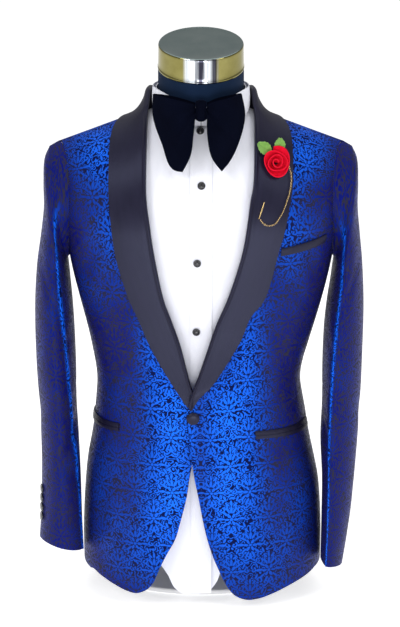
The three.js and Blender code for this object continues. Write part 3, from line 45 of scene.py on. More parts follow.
# The tailor's form: a hollow shell of a chest without limbs, covered in dark navy jersey that is stretched
# and glued down. All the clothes take their shape from it, so its surface formulas come first.
AHEAD_OF_BASE = 20
CHEST_HEIGHT = 600
SHOULDER_RISE = 149
SHOULDER_CLIMB = 195
TOP_CLIMB = CHEST_HEIGHT + SHOULDER_CLIMB
SHOULDER_SLOPE = 0.37
SHOULDER_ROUNDNESS = 1.15
SHOULDER_MIDDLE = 150
BODY_MIDDLE = 8
DEGREE = np.pi / 180


def smooth(value):
    """The cubic step 3t² - 2t³ of a value held between 0 and 1."""
    t = np.clip(value, 0, 1)
    return t * t * (3 - 2 * t)


def mix(a, b, share):
    """The value a share of the way from a to b."""
    return a + (b - a) * share


def cubic(keys, values, key):
    """The cubic through values at keys, whose slope at a key is its neighbours' distance-weighted one."""
    keys = np.asarray(keys, float)
    values = np.asarray(values, float)
    gaps = np.diff(keys)
    rise = np.diff(values) / gaps
    slope = np.concatenate([rise[:1], rise[-1:] if len(rise) == 1 else
                            (rise[:-1] * gaps[1:] + rise[1:] * gaps[:-1]) / (gaps[:-1] + gaps[1:]),
                             rise[-1:]])
    if len(rise) == 1:
        slope = np.array([rise[0], rise[0]])
    k = np.clip(key, keys[0], keys[-1])
    i = np.clip(np.searchsorted(keys, k, side="right") - 1, 0, len(keys) - 2)
    t = (k - keys[i]) / gaps[i]
    t2 = t * t
    t3 = t2 * t
    return ((2 * t3 - 3 * t2 + 1) * values[i] + (t3 - 2 * t2 + t) * gaps[i] * slope[i]
            + (3 * t2 - 2 * t3) * values[i + 1] + (t3 - t2) * gaps[i] * slope[i + 1])


def table(names, rows):
    """A short table as named columns, of which the first is the key."""
    return dict(zip(names.split(), np.array(rows, float).T))


def read(rows, column, key):
    """A column of a table, followed smoothly by the table's first column."""
    return cubic(next(iter(rows.values())), rows[column], key)


def curve_through(points):
    """The smooth curve through points, walked at an even pace from share 0 to share 1."""
    points = np.array(points, float)
    walked = np.concatenate([[0], np.cumsum(np.linalg.norm(np.diff(points, axis=0), axis=1))])
    return lambda share: np.stack(
        [cubic(walked, points[:, k], np.asarray(share) * walked[-1])
         for k in range(points.shape[1])], axis=-1)


def solve(rising, target, low, high):
    """The value at which a rising function reaches a target, by halving, for whole arrays at once."""
    low = np.full(np.shape(target), float(low))
    high = np.full(np.shape(target), float(high))
    for _ in range(40):
        middle = (low + high) / 2
        under = rising(middle) < target
        low = np.where(under, middle, low)
        high = np.where(under, high, middle)
    return (low + high) / 2


def unit(vectors):
    """Vectors scaled to length 1."""
    return vectors / np.linalg.norm(vectors, axis=-1, keepdims=True)


def level_at(layer, climb):
    """Height, shoulder slope and share of the depth that is left, after climbing from the floor."""
    share = np.clip((climb - CHEST_HEIGHT) / SHOULDER_CLIMB, 0, 1)
    rise = np.sin(share * np.pi / 2)
    above = share > 0
    height = np.where(above, CHEST_HEIGHT + (SHOULDER_RISE - layer["drop"]) * rise, climb)
    slope = np.where(above, SHOULDER_SLOPE * smooth(rise), 0)
    depth = np.where(above, np.clip(np.cos(share * np.pi / 2), 0, 1) ** SHOULDER_ROUNDNESS, 1)
    return height, slope, depth


def body_point(layer, turn, climb):
    """A point of the body. turn 0 is the front's middle and 90 degrees the wearer's left side. Each level is
    an oval with a third harmonic: x = w((1+q)sin t + q sin 3t), y = d((1+q)cos t - q cos 3t). A climb beyond
    the shoulder's ridge comes down again behind."""
    turn, climb = np.broadcast_arrays(np.asarray(turn, float), np.asarray(climb, float))
    beyond = climb > TOP_CLIMB
    turn = np.where(beyond, np.pi - turn, turn)
    climb = np.where(beyond, 2 * TOP_CLIMB - climb, climb)
    height, slope, depth = level_at(layer, climb)
    body = layer["body"]
    square = read(body, "square", climb)
    across = (1 + square) * np.sin(turn) + square * np.sin(3 * turn)
    ahead = (1 + square) * np.cos(turn) - square * np.cos(3 * turn)
    reach = depth * np.where(ahead > 0, read(body, "front", climb), read(body, "back", climb))
    x = layer["side"] * read(body, "shift", climb) + read(body, "width", climb) * across
    z = height + (SHOULDER_MIDDLE - np.sqrt(x * x + 100)) * slope
    return np.stack([x, BODY_MIDDLE - reach * ahead, z], axis=-1)


def body_point_out(layer, turn, climb, out):
    """A point of the body pushed out along the body's own normal."""
    around = body_point(layer, turn + 0.004, climb) - body_point(layer, turn - 0.004, climb)
    upwards = body_point(layer, turn, climb + 4) - body_point(layer, turn, climb - 4)
    return body_point(layer, turn, climb) + unit(np.cross(around, upwards)) * np.asarray(out)[..., None]


def turn_at(layer, x, climb):
    """The turn at which the body's front has a given x."""
    return solve(lambda turn: body_point(layer, turn, climb)[..., 0], x, -np.pi / 2, np.pi / 2)


def front_place(layer, x, z):
    """The turn and climb of the body's front point that is seen from ahead at x and z."""
    x, z = np.broadcast_arrays(np.asarray(x, float), np.asarray(z, float))

    def height_at(climb):
        height, slope, _ = level_at(layer, climb)
        return height + (SHOULDER_MIDDLE - np.sqrt(x * x + 100)) * slope

    climb = solve(height_at, z, 0, TOP_CLIMB)
    return turn_at(layer, x, climb), climb


def rings_between(rings):
    """Quads between stacked rings of points, with a face over the first and the last ring."""
    rows, columns = rings.shape[:2]
    index = np.arange(rows * columns).reshape(rows, columns)
    following = np.roll(index, -1, axis=1)
    sides = np.stack([index[:-1], following[:-1], following[1:], index[1:]], axis=-1).reshape(-1, 4)
    return sides.tolist() + [index[0, ::-1].tolist(), index[-1].tolist()]


def piece(name, points, faces, material, nodes, uv=None, shares=None, sharp=35):
    """A mesh in metres at the origin, riding on the part's one body in place of its CAD nodes."""
    mesh = bpy.data.meshes.new(name)
    metres = (np.asarray(points).reshape(-1, 3) - [0, AHEAD_OF_BASE, 0]) / 1000
    mesh.from_pydata(metres.tolist(), [], faces)
    mesh.validate()
    mesh.shade_smooth()
    mesh.set_sharp_from_angle(angle=sharp * DEGREE)
    if uv is not None:
        corners = np.empty(len(mesh.loops), int)
        mesh.loops.foreach_get("vertex_index", corners)
        mesh.uv_layers.new(name="cut").data.foreach_set("uv", np.asarray(uv).reshape(-1, 2)[corners].ravel())
    # Per-point shares go to an attribute that holds a painted highlight for the jacquard's colour.
    if shares is not None:
        mesh.attributes.new("painted_highlight", "FLOAT", "POINT").data.foreach_set("value", np.asarray(shares).ravel())
    mesh.materials.append(material)
    made = bpy.data.objects.new(name, mesh)
    scene.collection.objects.link(made)
    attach(made, "root")
    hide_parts(*nodes)
    return made


class Field:
    """A number that varies over a surface, as a socket of a material, with the usual signs for its sums."""

    def __init__(self, tree, socket):
        self.tree = tree
        self.socket = socket

    def apply(self, operation, *others):
        """One math node on this field and the others."""
        node = self.tree.nodes.new("ShaderNodeMath")
        node.operation = operation
        for socket, value in zip(node.inputs, (self, *others)):
            if isinstance(value, Field):
                self.tree.links.new(value.socket, socket)
            else:
                socket.default_value = value
        return Field(self.tree, node.outputs[0])

    def __add__(self, other):
        return self.apply("ADD", other)

    def __sub__(self, other):
        return self.apply("SUBTRACT", other)

    def __mul__(self, other):
        return self.apply("MULTIPLY", other)

    def ramp(self, low, high):
        """0 below low and 1 above high, straight between them."""
        return (self - low).apply("MULTIPLY", 1 / (high - low)).apply("MAXIMUM", 0.0).apply("MINIMUM", 1.0)


def new_material(name, colour, roughness, **sockets):
    """A material whose constants sit on the shader's own sockets."""
    material = bpy.data.materials.new(name)
    material.use_nodes = True
    material.diffuse_color = (*colour, 1)
    shader = material.node_tree.nodes["Principled BSDF"]
    shader.inputs["Base Color"].default_value = (*colour, 1)
    shader.inputs["Roughness"].default_value = roughness
    for label, value in sockets.items():
        shader.inputs[label.replace("_", " ")].default_value = value
    return material, material.node_tree, shader


def place_in(tree, kind="Object"):
    """The three coordinates of a point, in metres on the object or in millimetres on its cut."""
    coordinates = tree.nodes.new("ShaderNodeTexCoord")
    split = tree.nodes.new("ShaderNodeSeparateXYZ")
    tree.links.new(coordinates.outputs[kind], split.inputs[0])
    return [Field(tree, split.outputs[k]) for k in range(3)]


def noise_in(tree, scale, detail=3.0, roughness=0.55, kind="Object", stretch=(1, 1, 1)):
    """A cloudy value from 0 to 1 with a given number of clouds in a metre."""
    coordinates = tree.nodes.new("ShaderNodeTexCoord")
    mapping = tree.nodes.new("ShaderNodeMapping")
    mapping.inputs["Scale"].default_value = stretch
    noise = tree.nodes.new("ShaderNodeTexNoise")
    noise.inputs["Scale"].default_value = scale
    noise.inputs["Detail"].default_value = detail
    noise.inputs["Roughness"].default_value = roughness
    tree.links.new(coordinates.outputs[kind], mapping.inputs[0])
    tree.links.new(mapping.outputs[0], noise.inputs[0])
    return Field(tree, noise.outputs[0])


def colour_between(tree, share, dark, light):
    """A colour that goes from dark to light with a field, given as colours or as other colour sockets."""
    node = tree.nodes.new("ShaderNodeMix")
    node.data_type = "RGBA"
    tree.links.new(share.socket, node.inputs[0])
    for socket, value in ((node.inputs[6], dark), (node.inputs[7], light)):
        if isinstance(value, bpy.types.NodeSocket):
            tree.links.new(value, socket)
        else:
            socket.default_value = (*value, 1)
    return node.outputs[2]


def raise_by(tree, shader, height, distance, strength=1.0):
    """Bump on a shader from a height field between 0 and 1, over a distance in metres."""
    bump = tree.nodes.new("ShaderNodeBump")
    bump.inputs["Strength"].default_value = strength
    bump.inputs["Distance"].default_value = distance
    tree.links.new(height.socket, bump.inputs["Height"])
    tree.links.new(bump.outputs[0], shader.inputs["Normal"])


FORM_BODY = table("height width shift front back square", [
    [108, 160, 0, 88, 84, 0.03], [145, 161, 0, 90, 85, 0.03], [220, 157, 0, 92, 79, 0.03],
    [290, 147, -1, 94, 71, 0.03], [355, 143, -1, 95, 69, 0.03], [415, 151, -1, 98, 75, 0.03],
    [480, 167, 0, 100, 87, 0.035], [530, 180, 0, 101, 95, 0.04], [600, 192, 0, 100.5, 101, 0.045],
    [660, 197, 0, 101, 101, 0.045], [795, 203, 0, 101, 99, 0.04]])
FORM = {"body": FORM_BODY, "drop": 4.5, "side": 1}
NECK = table("order radius y z tilt", [
    [0, 59, 9, 725, 0], [1, 60.5, 8, 766, 0], [2, 63, 6, 790, 2], [3, 64.3, 5, 812, 6],
    [4, 64.3, 4.1, 838.2, 14]])
jersey, tree, shader = new_material("navy jersey", (0.006, 0.016, 0.045), 0.9, Sheen_Weight=0.04,
                                    Sheen_Roughness=0.5, Specular_IOR_Level=0.08)
x, y, z = place_in(tree)
rib = (x * 5200.0).apply("SINE") * (z * 4200.0).apply("SINE")
raise_by(tree, shader, rib * 0.5 + 0.5, 0.0003)
cloud = noise_in(tree, 22.0)
tree.links.new(colour_between(tree, cloud, (0.004, 0.014, 0.038), (0.008, 0.021, 0.058)), shader.inputs[0])

turns = np.linspace(0, 2 * np.pi, 96, endpoint=False)
climbs = np.concatenate([np.linspace(108, 600, 50), np.linspace(606, TOP_CLIMB - 0.3, 40)])
torso = body_point(FORM, turns[None, :], climbs[:, None])
order = np.linspace(0, 4, 40)[:, None]
tilt = read(NECK, "tilt", order) * DEGREE
neck = np.stack([read(NECK, "radius", order) * np.sin(turns),
                 read(NECK, "y", order) - read(NECK, "radius", order) * np.cos(turns) * np.cos(tilt),
                 read(NECK, "z", order)
                  - read(NECK, "radius", order) * np.cos(turns) * np.sin(tilt)], axis=-1)
neck_faces = [[i + torso.size // 3 for i in face] for face in rings_between(neck)]
piece("form_jersey", np.concatenate([torso.reshape(-1, 3), neck.reshape(-1, 3)]),
      rings_between(torso) + neck_faces, jersey, ["form_body"])

# The neck cap: a spun metal lid, plated and polished, pressed over the top of the form's neck. Its colour
# holds painted reflections: olive gold at the left and right sides, dark and white streaks, and a grey-green
# top.
CAP_TILT = 14 * DEGREE
CAP_FOOT = np.array([0, 4, 838.6])
CAP_PROFILE = [[63.6, 0], [64.6, 0.3], [64.9, 1.2], [64.9, 2.2], [64.4, 3], [64.2, 10], [63.9, 22],
               [63.6, 33], [63.5, 36], [63.1, 37.2], [62.3, 38.0], [61.3, 38.3], [60.4, 38.1],
               [50, 37.9], [30, 37.8], [10, 37.8]]


def turned(profile, at, axis, sides, ripple=0):
    """Rings of a round form about an axis, from radii and heights above a point."""
    profile = np.array(profile, float)
    axis = unit(np.asarray(axis, float))
    aside = unit(np.cross(axis, [0.31, 0.17, 0.93] if abs(axis[2]) < 0.9 else [1, 0, 0]))
    ahead = np.cross(axis, aside)
    angles = np.linspace(0, 2 * np.pi, sides, endpoint=False)
    radius = profile[:, :1] * (1 + ripple * np.cos(angles * 7 + profile[:, 1:] * 0.9))
    return (at + axis * profile[:, 1, None, None]
            + radius[..., None] * (aside * np.cos(angles)[:, None] + ahead * np.sin(angles)[:, None]))


chrome, tree, shader = new_material("plated metal", (0.75, 0.77, 0.8), 0.1, Metallic=1.0)
x, y, z = place_in(tree)
# Painted reflections in the metal's colour: olive gold at the left and right sides, dark and white streaks on
# the wall, and a cloudy grey-green on the flat top, told apart by the upward normal.
side = x.apply("ABSOLUTE").ramp(0.021, 0.027)
wall = place_in(tree, "Normal")[2].ramp(0.75, 0.45)
streaks = noise_in(tree, 70.0, 4.0, kind="Object", stretch=(1, 0.05, 0.02)).ramp(0.38, 0.62)
reflection_clouds = noise_in(tree, 30.0, 3.0)
painted_gold_reflection = colour_between(tree, reflection_clouds, (0.16, 0.14, 0.035), (0.34, 0.31, 0.12))
painted_streak_reflection = colour_between(tree, streaks, (0.03, 0.03, 0.045), (0.9, 0.95, 1.0))
painted_wall_reflection = colour_between(tree, side, painted_streak_reflection, painted_gold_reflection)
painted_lid_reflection = colour_between(tree, reflection_clouds, (0.17, 0.24, 0.24), (0.3, 0.36, 0.35))
tree.links.new(colour_between(tree, wall, painted_lid_reflection, painted_wall_reflection), shader.inputs[0])
tree.links.new((noise_in(tree, 260.0) * 0.14 + 0.04).socket, shader.inputs["Roughness"])
cap = turned(CAP_PROFILE, CAP_FOOT, [0, -np.sin(CAP_TILT), np.cos(CAP_TILT)], 96)
piece("cap_polished", cap, rings_between(cap), chrome, ["neck_cap"], sharp=50)

# The stand: a steel column under the form on an oval plate, both powder-coated white. The coat is slightly
# pebbled, and the plate's edge is rounded over.
paint, tree, shader = new_material("white powder coat", (0.88, 0.88, 0.88), 0.5, Coat_Weight=0.15)
raise_by(tree, shader, noise_in(tree, 900.0, 2.0), 0.0002, 0.5)
PLATE_SECTION = [[134.2, 69.2, 0], [135, 70, 0.8], [135, 70, 5.2], [134.5, 69.5, 6.6], [133.5, 68.5, 7.6],
                 [132, 67, 8], [60, 40, 8]]
angles = np.linspace(0, 2 * np.pi, 72, endpoint=False)
plate = np.stack([np.stack([wide * np.cos(angles), AHEAD_OF_BASE + deep * np.sin(angles),
                            np.full(72, high)], axis=-1) for wide, deep, high in PLATE_SECTION])
piece("plate_coated", plate, rings_between(plate), paint, ["base_plate"])
COLUMN_PROFILE = [[29, 8.3], [30, 8.8], [30, 12.6], [29, 13.6], [19, 16.2], [17.3, 17.6], [17, 20], [17, 89],
                  [17.6, 91.4], [29, 95.4], [30, 96.6], [30, 107.7]]
column = turned(COLUMN_PROFILE, [0, AHEAD_OF_BASE, 0], [0, 0, 1], 48)
piece("column_coated", column, rings_between(column), paint, ["column"])

# The shirt: two fronts, a back and two plain sleeves of white cotton poplin, sewn flat at their seams. Its
# tail hangs out below the coat's cutaway in a few soft ripples, and its fronts are drawn in at the waist.
SHIRT_BODY = table("height width shift front back square", [
    [0, 171, 0, 101, 99, 0.03], [60, 172, 0, 102, 100, 0.03], [145, 171, 0, 103, 98, 0.03],
    [220, 165, 0, 104, 91, 0.03], [290, 154, -1, 104.5, 82, 0.03], [355, 149, -1, 104.5, 79, 0.03],
    [415, 158, -1, 106, 85, 0.03], [480, 176, 0, 107.5, 97, 0.035], [530, 189, 0, 108.5, 105, 0.04],
    [600, 201, 0, 108, 111, 0.045], [660, 206, 0, 109, 111, 0.045], [795, 212.5, 0, 111, 111.5, 0.04]])
SHIRT = {"body": SHIRT_BODY, "drop": 2.6, "side": 1}
SHIRT_RIGHT = {**SHIRT, "side": -1}
SHIRT_CLOTH = 1.2
SEAM_GAP = 0.36
HALF_GAP_TURN = SEAM_GAP / 2 / 170
ROUND_A_BODY = 150
SHIRT_ARMHOLE = {"reach": 22.5 * DEGREE, "bottom": 562, "top": TOP_CLIMB - 13}
SHIRT_RIDGE = TOP_CLIMB - 0.45
SHIRT_THROAT = TOP_CLIMB - 84
SHIRT_NAPE = TOP_CLIMB - 86
SHIRT_SIDE_HEM = 103
SHIRT_SEAM_SHARE = 11 / 17
LEFT_TAIL = [[0, 24], [4, 28], [7, 40], [9.5, 62], [14, 82], [60, 95], [90, SHIRT_SIDE_HEM]]
RIGHT_TAIL = [[0, 23], [8, 23], [12, 31], [16, 54], [22, 78], [34, 88], [60, 95], [90, SHIRT_SIDE_HEM]]
BACK_TAIL = [[90, SHIRT_SIDE_HEM], [118, 84], [145, 56], [180, 40]]
# Soft troughs of the shirt, seen from ahead, on both fronts
SHIRT_CREASES = table("order fromX fromZ toX toZ depth breadth", [
    [0, 16, 330, 34, 470, 1.6, 6], [1, 30, 350, 60, 520, 1.3, 7], [2, 6, 340, 20, 420, 1.2, 4],
    [3, 60, 745, 92, 610, 1.5, 7], [4, 40, 735, 70, 640, 1.1, 6], [5, 88, 700, 84, 560, 1.2, 8],
    [6, 24, 640, 70, 600, 0.9, 7], [7, 20, 520, 66, 560, 0.9, 9]])


def armhole_place(hole, around):
    """The turn and climb on an oval armhole; around 0 is the shoulder's tip and 180 degrees the armpit."""
    middle = (hole["top"] + hole["bottom"]) / 2
    half = (hole["top"] - hole["bottom"]) / 2
    return np.stack([np.pi / 2 + hole["reach"] * np.sin(around), middle + half * np.cos(around)], axis=-1)


def trough_depth(creases, x, z):
    """The sum of straight soft troughs, each exp(-(distance/breadth)²) across and a half sine along."""
    total = np.zeros(np.shape(x))
    for x0, z0, x1, z1, depth, breadth in zip(*(creases[c] for c in list(creases)[1:])):
        length = np.hypot(x1 - x0, z1 - z0)
        share = ((x - x0) * (x1 - x0) + (z - z0) * (z1 - z0)) / length ** 2
        away = ((x - x0) * (z1 - z0) - (z - z0) * (x1 - x0)) / length
        total += depth * np.sin(np.pi * np.clip(share, 0, 1)) ** 0.8 * np.exp(-(away / breadth) ** 2)
    return total


def patch(bottom, top, start, end, hand_over=lambda u: u):
    """A Coons patch: the blend of four border curves less the blend of their corners. hand_over(u) is how
    much of the last side border has replaced the first one."""
    def at(u, v):
        u, v = np.broadcast_arrays(u, v)
        corners = [bottom(np.array(0.0)), bottom(np.array(1.0)), top(np.array(0.0)), top(np.array(1.0))]
        a, b = hand_over(u)[..., None], v[..., None]
        return ((1 - b) * bottom(u) + b * top(u) + (1 - a) * start(v) + a * end(v)
                - (1 - a) * (1 - b) * corners[0] - a * (1 - b) * corners[1]
                - (1 - a) * b * corners[2] - a * b * corners[3])
    return at


def seam_point(layer, turn, climb, out):
    """A point of a panel, which keeps its distance from the next one along the shoulder's ridge."""
    point = body_point_out(layer, turn, climb, out)
    point[..., 1] += SEAM_GAP / 2 * smooth((climb - TOP_CLIMB + 24) / 24) * np.sign(turn - np.pi / 2)
    return point


def both_ways(columns, rows, extra=()):
    """u and v on a grid of even steps, with a few more rows of v."""
    v = np.unique(np.concatenate([np.linspace(0, 1, rows + 1), extra]))
    return np.meshgrid(np.linspace(0, 1, columns + 1), v)


def cut_places(layer, turn, climb):
    """Millimetres on the flat cloth: the walk round the body from the front's middle, and the climb."""
    steps = np.linspace(0, 1, 33)
    walk = body_point(layer, turn[..., None] * steps, climb[..., None])
    return np.stack([np.linalg.norm(np.diff(walk, axis=-2), axis=-1).sum(-1), climb], axis=-1)


def grid_places(points):
    """Millimetres on the flat cloth from the grid's own lengths, across its middle row and up each column."""
    middle = points.shape[0] // 2
    across = np.linalg.norm(np.diff(points, axis=1), axis=2)
    along = np.linalg.norm(np.diff(points, axis=0), axis=2)
    u = np.concatenate([[0], np.cumsum(across[middle])])
    v = np.concatenate([[0], np.cumsum(along.mean(axis=1))])
    return np.stack(np.meshgrid(u, v), axis=-1)


def cloth_piece(name, outer, inner, material, slot, held, rests_on, around=False,
                uv=None, shares=None, nodes=None):
    """A wall of cloth from its outer and inner grids and the rim between them, with its flat cut as its UVs.
    """
    outer, inner = np.asarray(outer, float), np.asarray(inner, float)
    rows, columns = outer.shape[:2]
    out = np.arange(rows * columns).reshape(rows, columns)
    if around:
        out = np.concatenate([out, out[:, :1]], axis=1)
    ins = out + rows * columns
    walls = [
        (out[:-1, :-1], out[:-1, 1:], out[1:, 1:], out[1:, :-1]),
        (ins[:-1, :-1], ins[1:, :-1], ins[1:, 1:], ins[:-1, 1:]),
        (ins[0, :-1], ins[0, 1:], out[0, 1:], out[0, :-1]),
        (out[-1, :-1], out[-1, 1:], ins[-1, 1:], ins[-1, :-1])]
    if not around:
        walls += [(ins[:-1, 0], out[:-1, 0], out[1:, 0], ins[1:, 0]),
                  (out[:-1, -1], ins[:-1, -1], ins[1:, -1], out[1:, -1])]
    faces = np.concatenate([np.stack(wall, axis=-1).reshape(-1, 4) for wall in walls]).tolist()
    uv = grid_places(outer) if uv is None else uv
    if shares is not None:
        shares = np.concatenate([np.ravel(shares), np.ravel(shares)])
    made = piece(name + "_sewn", np.concatenate([outer.reshape(-1, 3), inner.reshape(-1, 3)]),
                 faces, material,
                 nodes or [name], np.concatenate([uv.reshape(-1, 2), uv.reshape(-1, 2)]), shares)
    ring = np.concatenate([outer, outer[:, :1]], axis=1) if around else outer
    width = np.linalg.norm(np.diff(ring, axis=1), axis=2).sum(axis=1).max() / 1000
    length = np.linalg.norm(np.diff(ring, axis=0), axis=2).sum(axis=0).max() / 1000
    one, two = ring[1:, 1:] - ring[:-1, :-1], ring[1:, :-1] - ring[:-1, 1:]
    area = np.linalg.norm(np.cross(one, two), axis=-1).sum() / 2e6
    area = min(max(area, 0.31 * width * length), width * length)
    return made


def mirror(points):
    """The same grid on the body's other side, turned so that its outside stays outside."""
    return points[:, ::-1] * [-1, 1, 1]


cotton, tree, shader = new_material("white poplin", (0.86, 0.87, 0.95), 0.8, Specular_IOR_Level=0.2)
u, v, w = place_in(tree, "UV")
threads = (u * 9.0).apply("SINE") * (v * 9.0).apply("SINE")
tree.links.new(colour_between(tree, noise_in(tree, 14.0), (0.82, 0.83, 0.93), (0.9, 0.91, 0.97)),
               shader.inputs[0])
raise_by(tree, shader, threads * 0.5 + 0.5, 0.00015, 0.6)


def tail(places):
    """The curve of a shirt's hem, given by turn and climb."""
    return curve_through([[turn * DEGREE * ROUND_A_BODY, climb] for turn, climb in places])


def shirt_side(start, stop):
    """A shirt panel's side border: up the side seam, then round the armhole."""
    def at(v):
        seam = np.stack([np.full(np.shape(v), np.pi / 2),
                         mix(SHIRT_SIDE_HEM, SHIRT_ARMHOLE["bottom"], v / SHIRT_SEAM_SHARE)], axis=-1)
        share = np.clip((v - SHIRT_SEAM_SHARE) / (1 - SHIRT_SEAM_SHARE), 0, 1)
        hole = armhole_place(SHIRT_ARMHOLE, mix(start, stop, share))
        return np.where((v <= SHIRT_SEAM_SHARE)[..., None], seam, hole) * [ROUND_A_BODY, 1]
    return at


def shirt_shoulder(neck, share_of_neck, near, far):
    """A shirt panel's top border: the neckline for its first part, then the shoulder seam to the sleeve."""
    def at(u):
        share = np.clip((u - share_of_neck) / (1 - share_of_neck), 0, 1)
        seam = np.stack([mix(near, far, share) * ROUND_A_BODY,
                         mix(SHIRT_RIDGE, SHIRT_ARMHOLE["top"], share ** 3)], axis=-1)
        return np.where((u <= share_of_neck)[..., None], neck(np.clip(u / share_of_neck, 0, 1)), seam)
    return at


neck_turn = float(turn_at(SHIRT, np.array(69.0), SHIRT_RIDGE))
side_turn = float(turn_at(SHIRT, np.array(61.0), TOP_CLIMB - 42))
throat_turn = float(turn_at(SHIRT, np.array(30.0), TOP_CLIMB - 76))
NECK_FRONT = curve_through([[0, SHIRT_THROAT], [throat_turn * ROUND_A_BODY, TOP_CLIMB - 76],
                            [side_turn * ROUND_A_BODY, TOP_CLIMB - 42],
                             [neck_turn * ROUND_A_BODY, SHIRT_RIDGE]])
u, v = both_ways(44, 120, (0.985, 0.995))
for side_name, layer, places in (("left", SHIRT, LEFT_TAIL), ("right", SHIRT_RIGHT, RIGHT_TAIL)):
    hem = tail(places)
    foot = hem(np.array(0.0))[1]
    cut = patch(hem, shirt_shoulder(NECK_FRONT, 0.5, neck_turn, np.pi / 2),
                lambda v, foot=foot: np.stack([np.zeros(np.shape(v)), mix(foot, SHIRT_THROAT, v)], axis=-1),
                shirt_side(np.pi, 2 * np.pi), lambda u: u ** 2.4)
    along, climb = np.moveaxis(cut(u, v), -1, 0)
    turn = along / ROUND_A_BODY - HALF_GAP_TURN * u
    seen = body_point(layer, turn, climb)
    hanging = smooth((150 - seen[..., 2]) / 90)
    phase = 0.6 if side_name == "left" else 2.1
    ripple = hanging * 1.8 * np.cos(seen[..., 0] / 8.5 + phase + seen[..., 2] / 60)
    ripple *= smooth(seen[..., 0] / 12)
    out = ripple - trough_depth(SHIRT_CREASES, seen[..., 0], seen[..., 2])
    outer = seam_point(layer, turn, climb, out)
    inner = seam_point(layer, turn, climb, out - SHIRT_CLOTH)
    for wall in (outer, inner):
        wall[..., 0] = np.maximum(wall[..., 0], SEAM_GAP / 2)
    if side_name == "right":
        outer, inner = mirror(outer), mirror(inner)
    cloth_piece("shirt_front_" + side_name, outer, inner, cotton, "shirting", "draped", ["form_body"])

neck_back_turns = [np.pi - float(turn_at(SHIRT, np.array(x), c)) for x, c in (
    (61.0, TOP_CLIMB - 44), (33.0, TOP_CLIMB - 76))]
neck_behind = curve_through([[(np.pi - neck_turn) * ROUND_A_BODY, SHIRT_RIDGE],
                             [neck_back_turns[0] * ROUND_A_BODY, TOP_CLIMB - 44],
                             [neck_back_turns[1] * ROUND_A_BODY, TOP_CLIMB - 76],
                              [np.pi * ROUND_A_BODY, SHIRT_NAPE]])


def shirt_back_top(u):
    """The back's top border: the shoulder seam in from the sleeve, then the neckline to its middle."""
    share = 1 - np.clip(u / 0.6, 0, 1)
    seam = np.stack([mix(np.pi - neck_turn, np.pi / 2, share) * ROUND_A_BODY,
                     mix(SHIRT_RIDGE, SHIRT_ARMHOLE["top"], share ** 3)], axis=-1)
    return np.where((u >= 0.6)[..., None], neck_behind(np.clip((u - 0.6) / 0.4, 0, 1)), seam)


back_cut = patch(tail(BACK_TAIL), shirt_back_top, shirt_side(np.pi, 0),
                 lambda v: np.stack([np.full(np.shape(v), np.pi * ROUND_A_BODY),
                                      mix(40, SHIRT_NAPE, v)], axis=-1))
along, climb = np.moveaxis(back_cut(u, v), -1, 0)
turn = along / ROUND_A_BODY + HALF_GAP_TURN * (1 - u)
seen = body_point(SHIRT, turn, climb)
sag = 1.2 * np.cos(seen[..., 0] / 13 + seen[..., 2] / 50) * smooth((260 - seen[..., 2]) / 160) * smooth(
    (seen[..., 0] - 6) / 20)
halves = {}
for inset in (0, SHIRT_CLOTH):
    left = seam_point(SHIRT, turn, climb, sag - inset)
    right = seam_point(SHIRT_RIGHT, turn, climb, sag - inset)
    halves[inset] = np.concatenate([left, mirror(right)[:, 1:]], axis=1)
cloth_piece("shirt_back", halves[0], halves[SHIRT_CLOTH], cotton, "shirting", "draped", ["form_body"])

# The shirt's front band and its studs: a straight double strip of poplin stitched down both its edges, with
# round black studs through it that have a low dome and a thin raised rim.
PLACKET_HALF = 16
u, v = both_ways(14, 150)
climb = mix(25, SHIRT_THROAT - 1.5, v)
turn = turn_at(SHIRT, mix(-PLACKET_HALF, PLACKET_HALF, u), climb)
stitched = 0.35 * np.exp(-((np.abs(u - 0.5) - 0.4) / 0.03) ** 2)
puckered = 0.15 * np.cos(climb / 2.1) * np.exp(-((np.abs(u - 0.5) - 0.44) / 0.06) ** 2)
seen = body_point(SHIRT, turn, climb)
dip = trough_depth(SHIRT_CREASES, np.abs(seen[..., 0]), seen[..., 2]) * 0.5
cloth_piece("shirt_placket", body_point_out(SHIRT, turn, climb, 2 - stitched + puckered - dip),
            body_point_out(SHIRT, turn, climb, 0.9 - dip), cotton, "shirting", "laid",
            ["shirt_front_left_sewn"])

gloss, tree, shader = new_material("black button", (0.012, 0.012, 0.016), 0.18, Coat_Weight=0.3)
tree.links.new((noise_in(tree, 300.0) * 0.2 + 0.12).socket, shader.inputs["Roughness"])
STUD_PROFILE = [[4.2, 0], [5.4, 0.5], [5.9, 1.2], [5.8, 2.2], [5.2, 2.9], [4.6, 2.9], [4.2, 2.7], [3.2, 3.6],
                [1.8, 4.1], [0.5, 4.2]]
STUD_PLACES = [[-1, 753, 2.4], [0.6, 678, 1.1], [-5.7, 563, 2.4],
               [-7, 456, 2.4], [-5, 345, 2.4], [-4, 236, 2.4]]


def on_front(layer, x, z, out):
    """A point on the body's front as seen from ahead, pushed out, and the body's direction there."""
    turn, climb = front_place(layer, x, z)
    low, high = body_point_out(layer, turn, climb, 0), body_point_out(layer, turn, climb, 10)
    return low + unit(high - low) * out, unit(high - low)


for number, (x, z, out) in enumerate(STUD_PLACES, 1):
    at, axis = on_front(SHIRT, x, z, out)
    stud = turned(STUD_PROFILE, at, axis, 32)
    piece(f"stud_{number}_domed", stud, rings_between(stud), gloss, [f"stud_{number}"])

# The shirt's collar: a stand round the neck and a leaf that turns over it, of doubled poplin with a row of
# stitching near its edges. The velvet band of the bow lies between them.
NECK_MIDDLE = 4.5


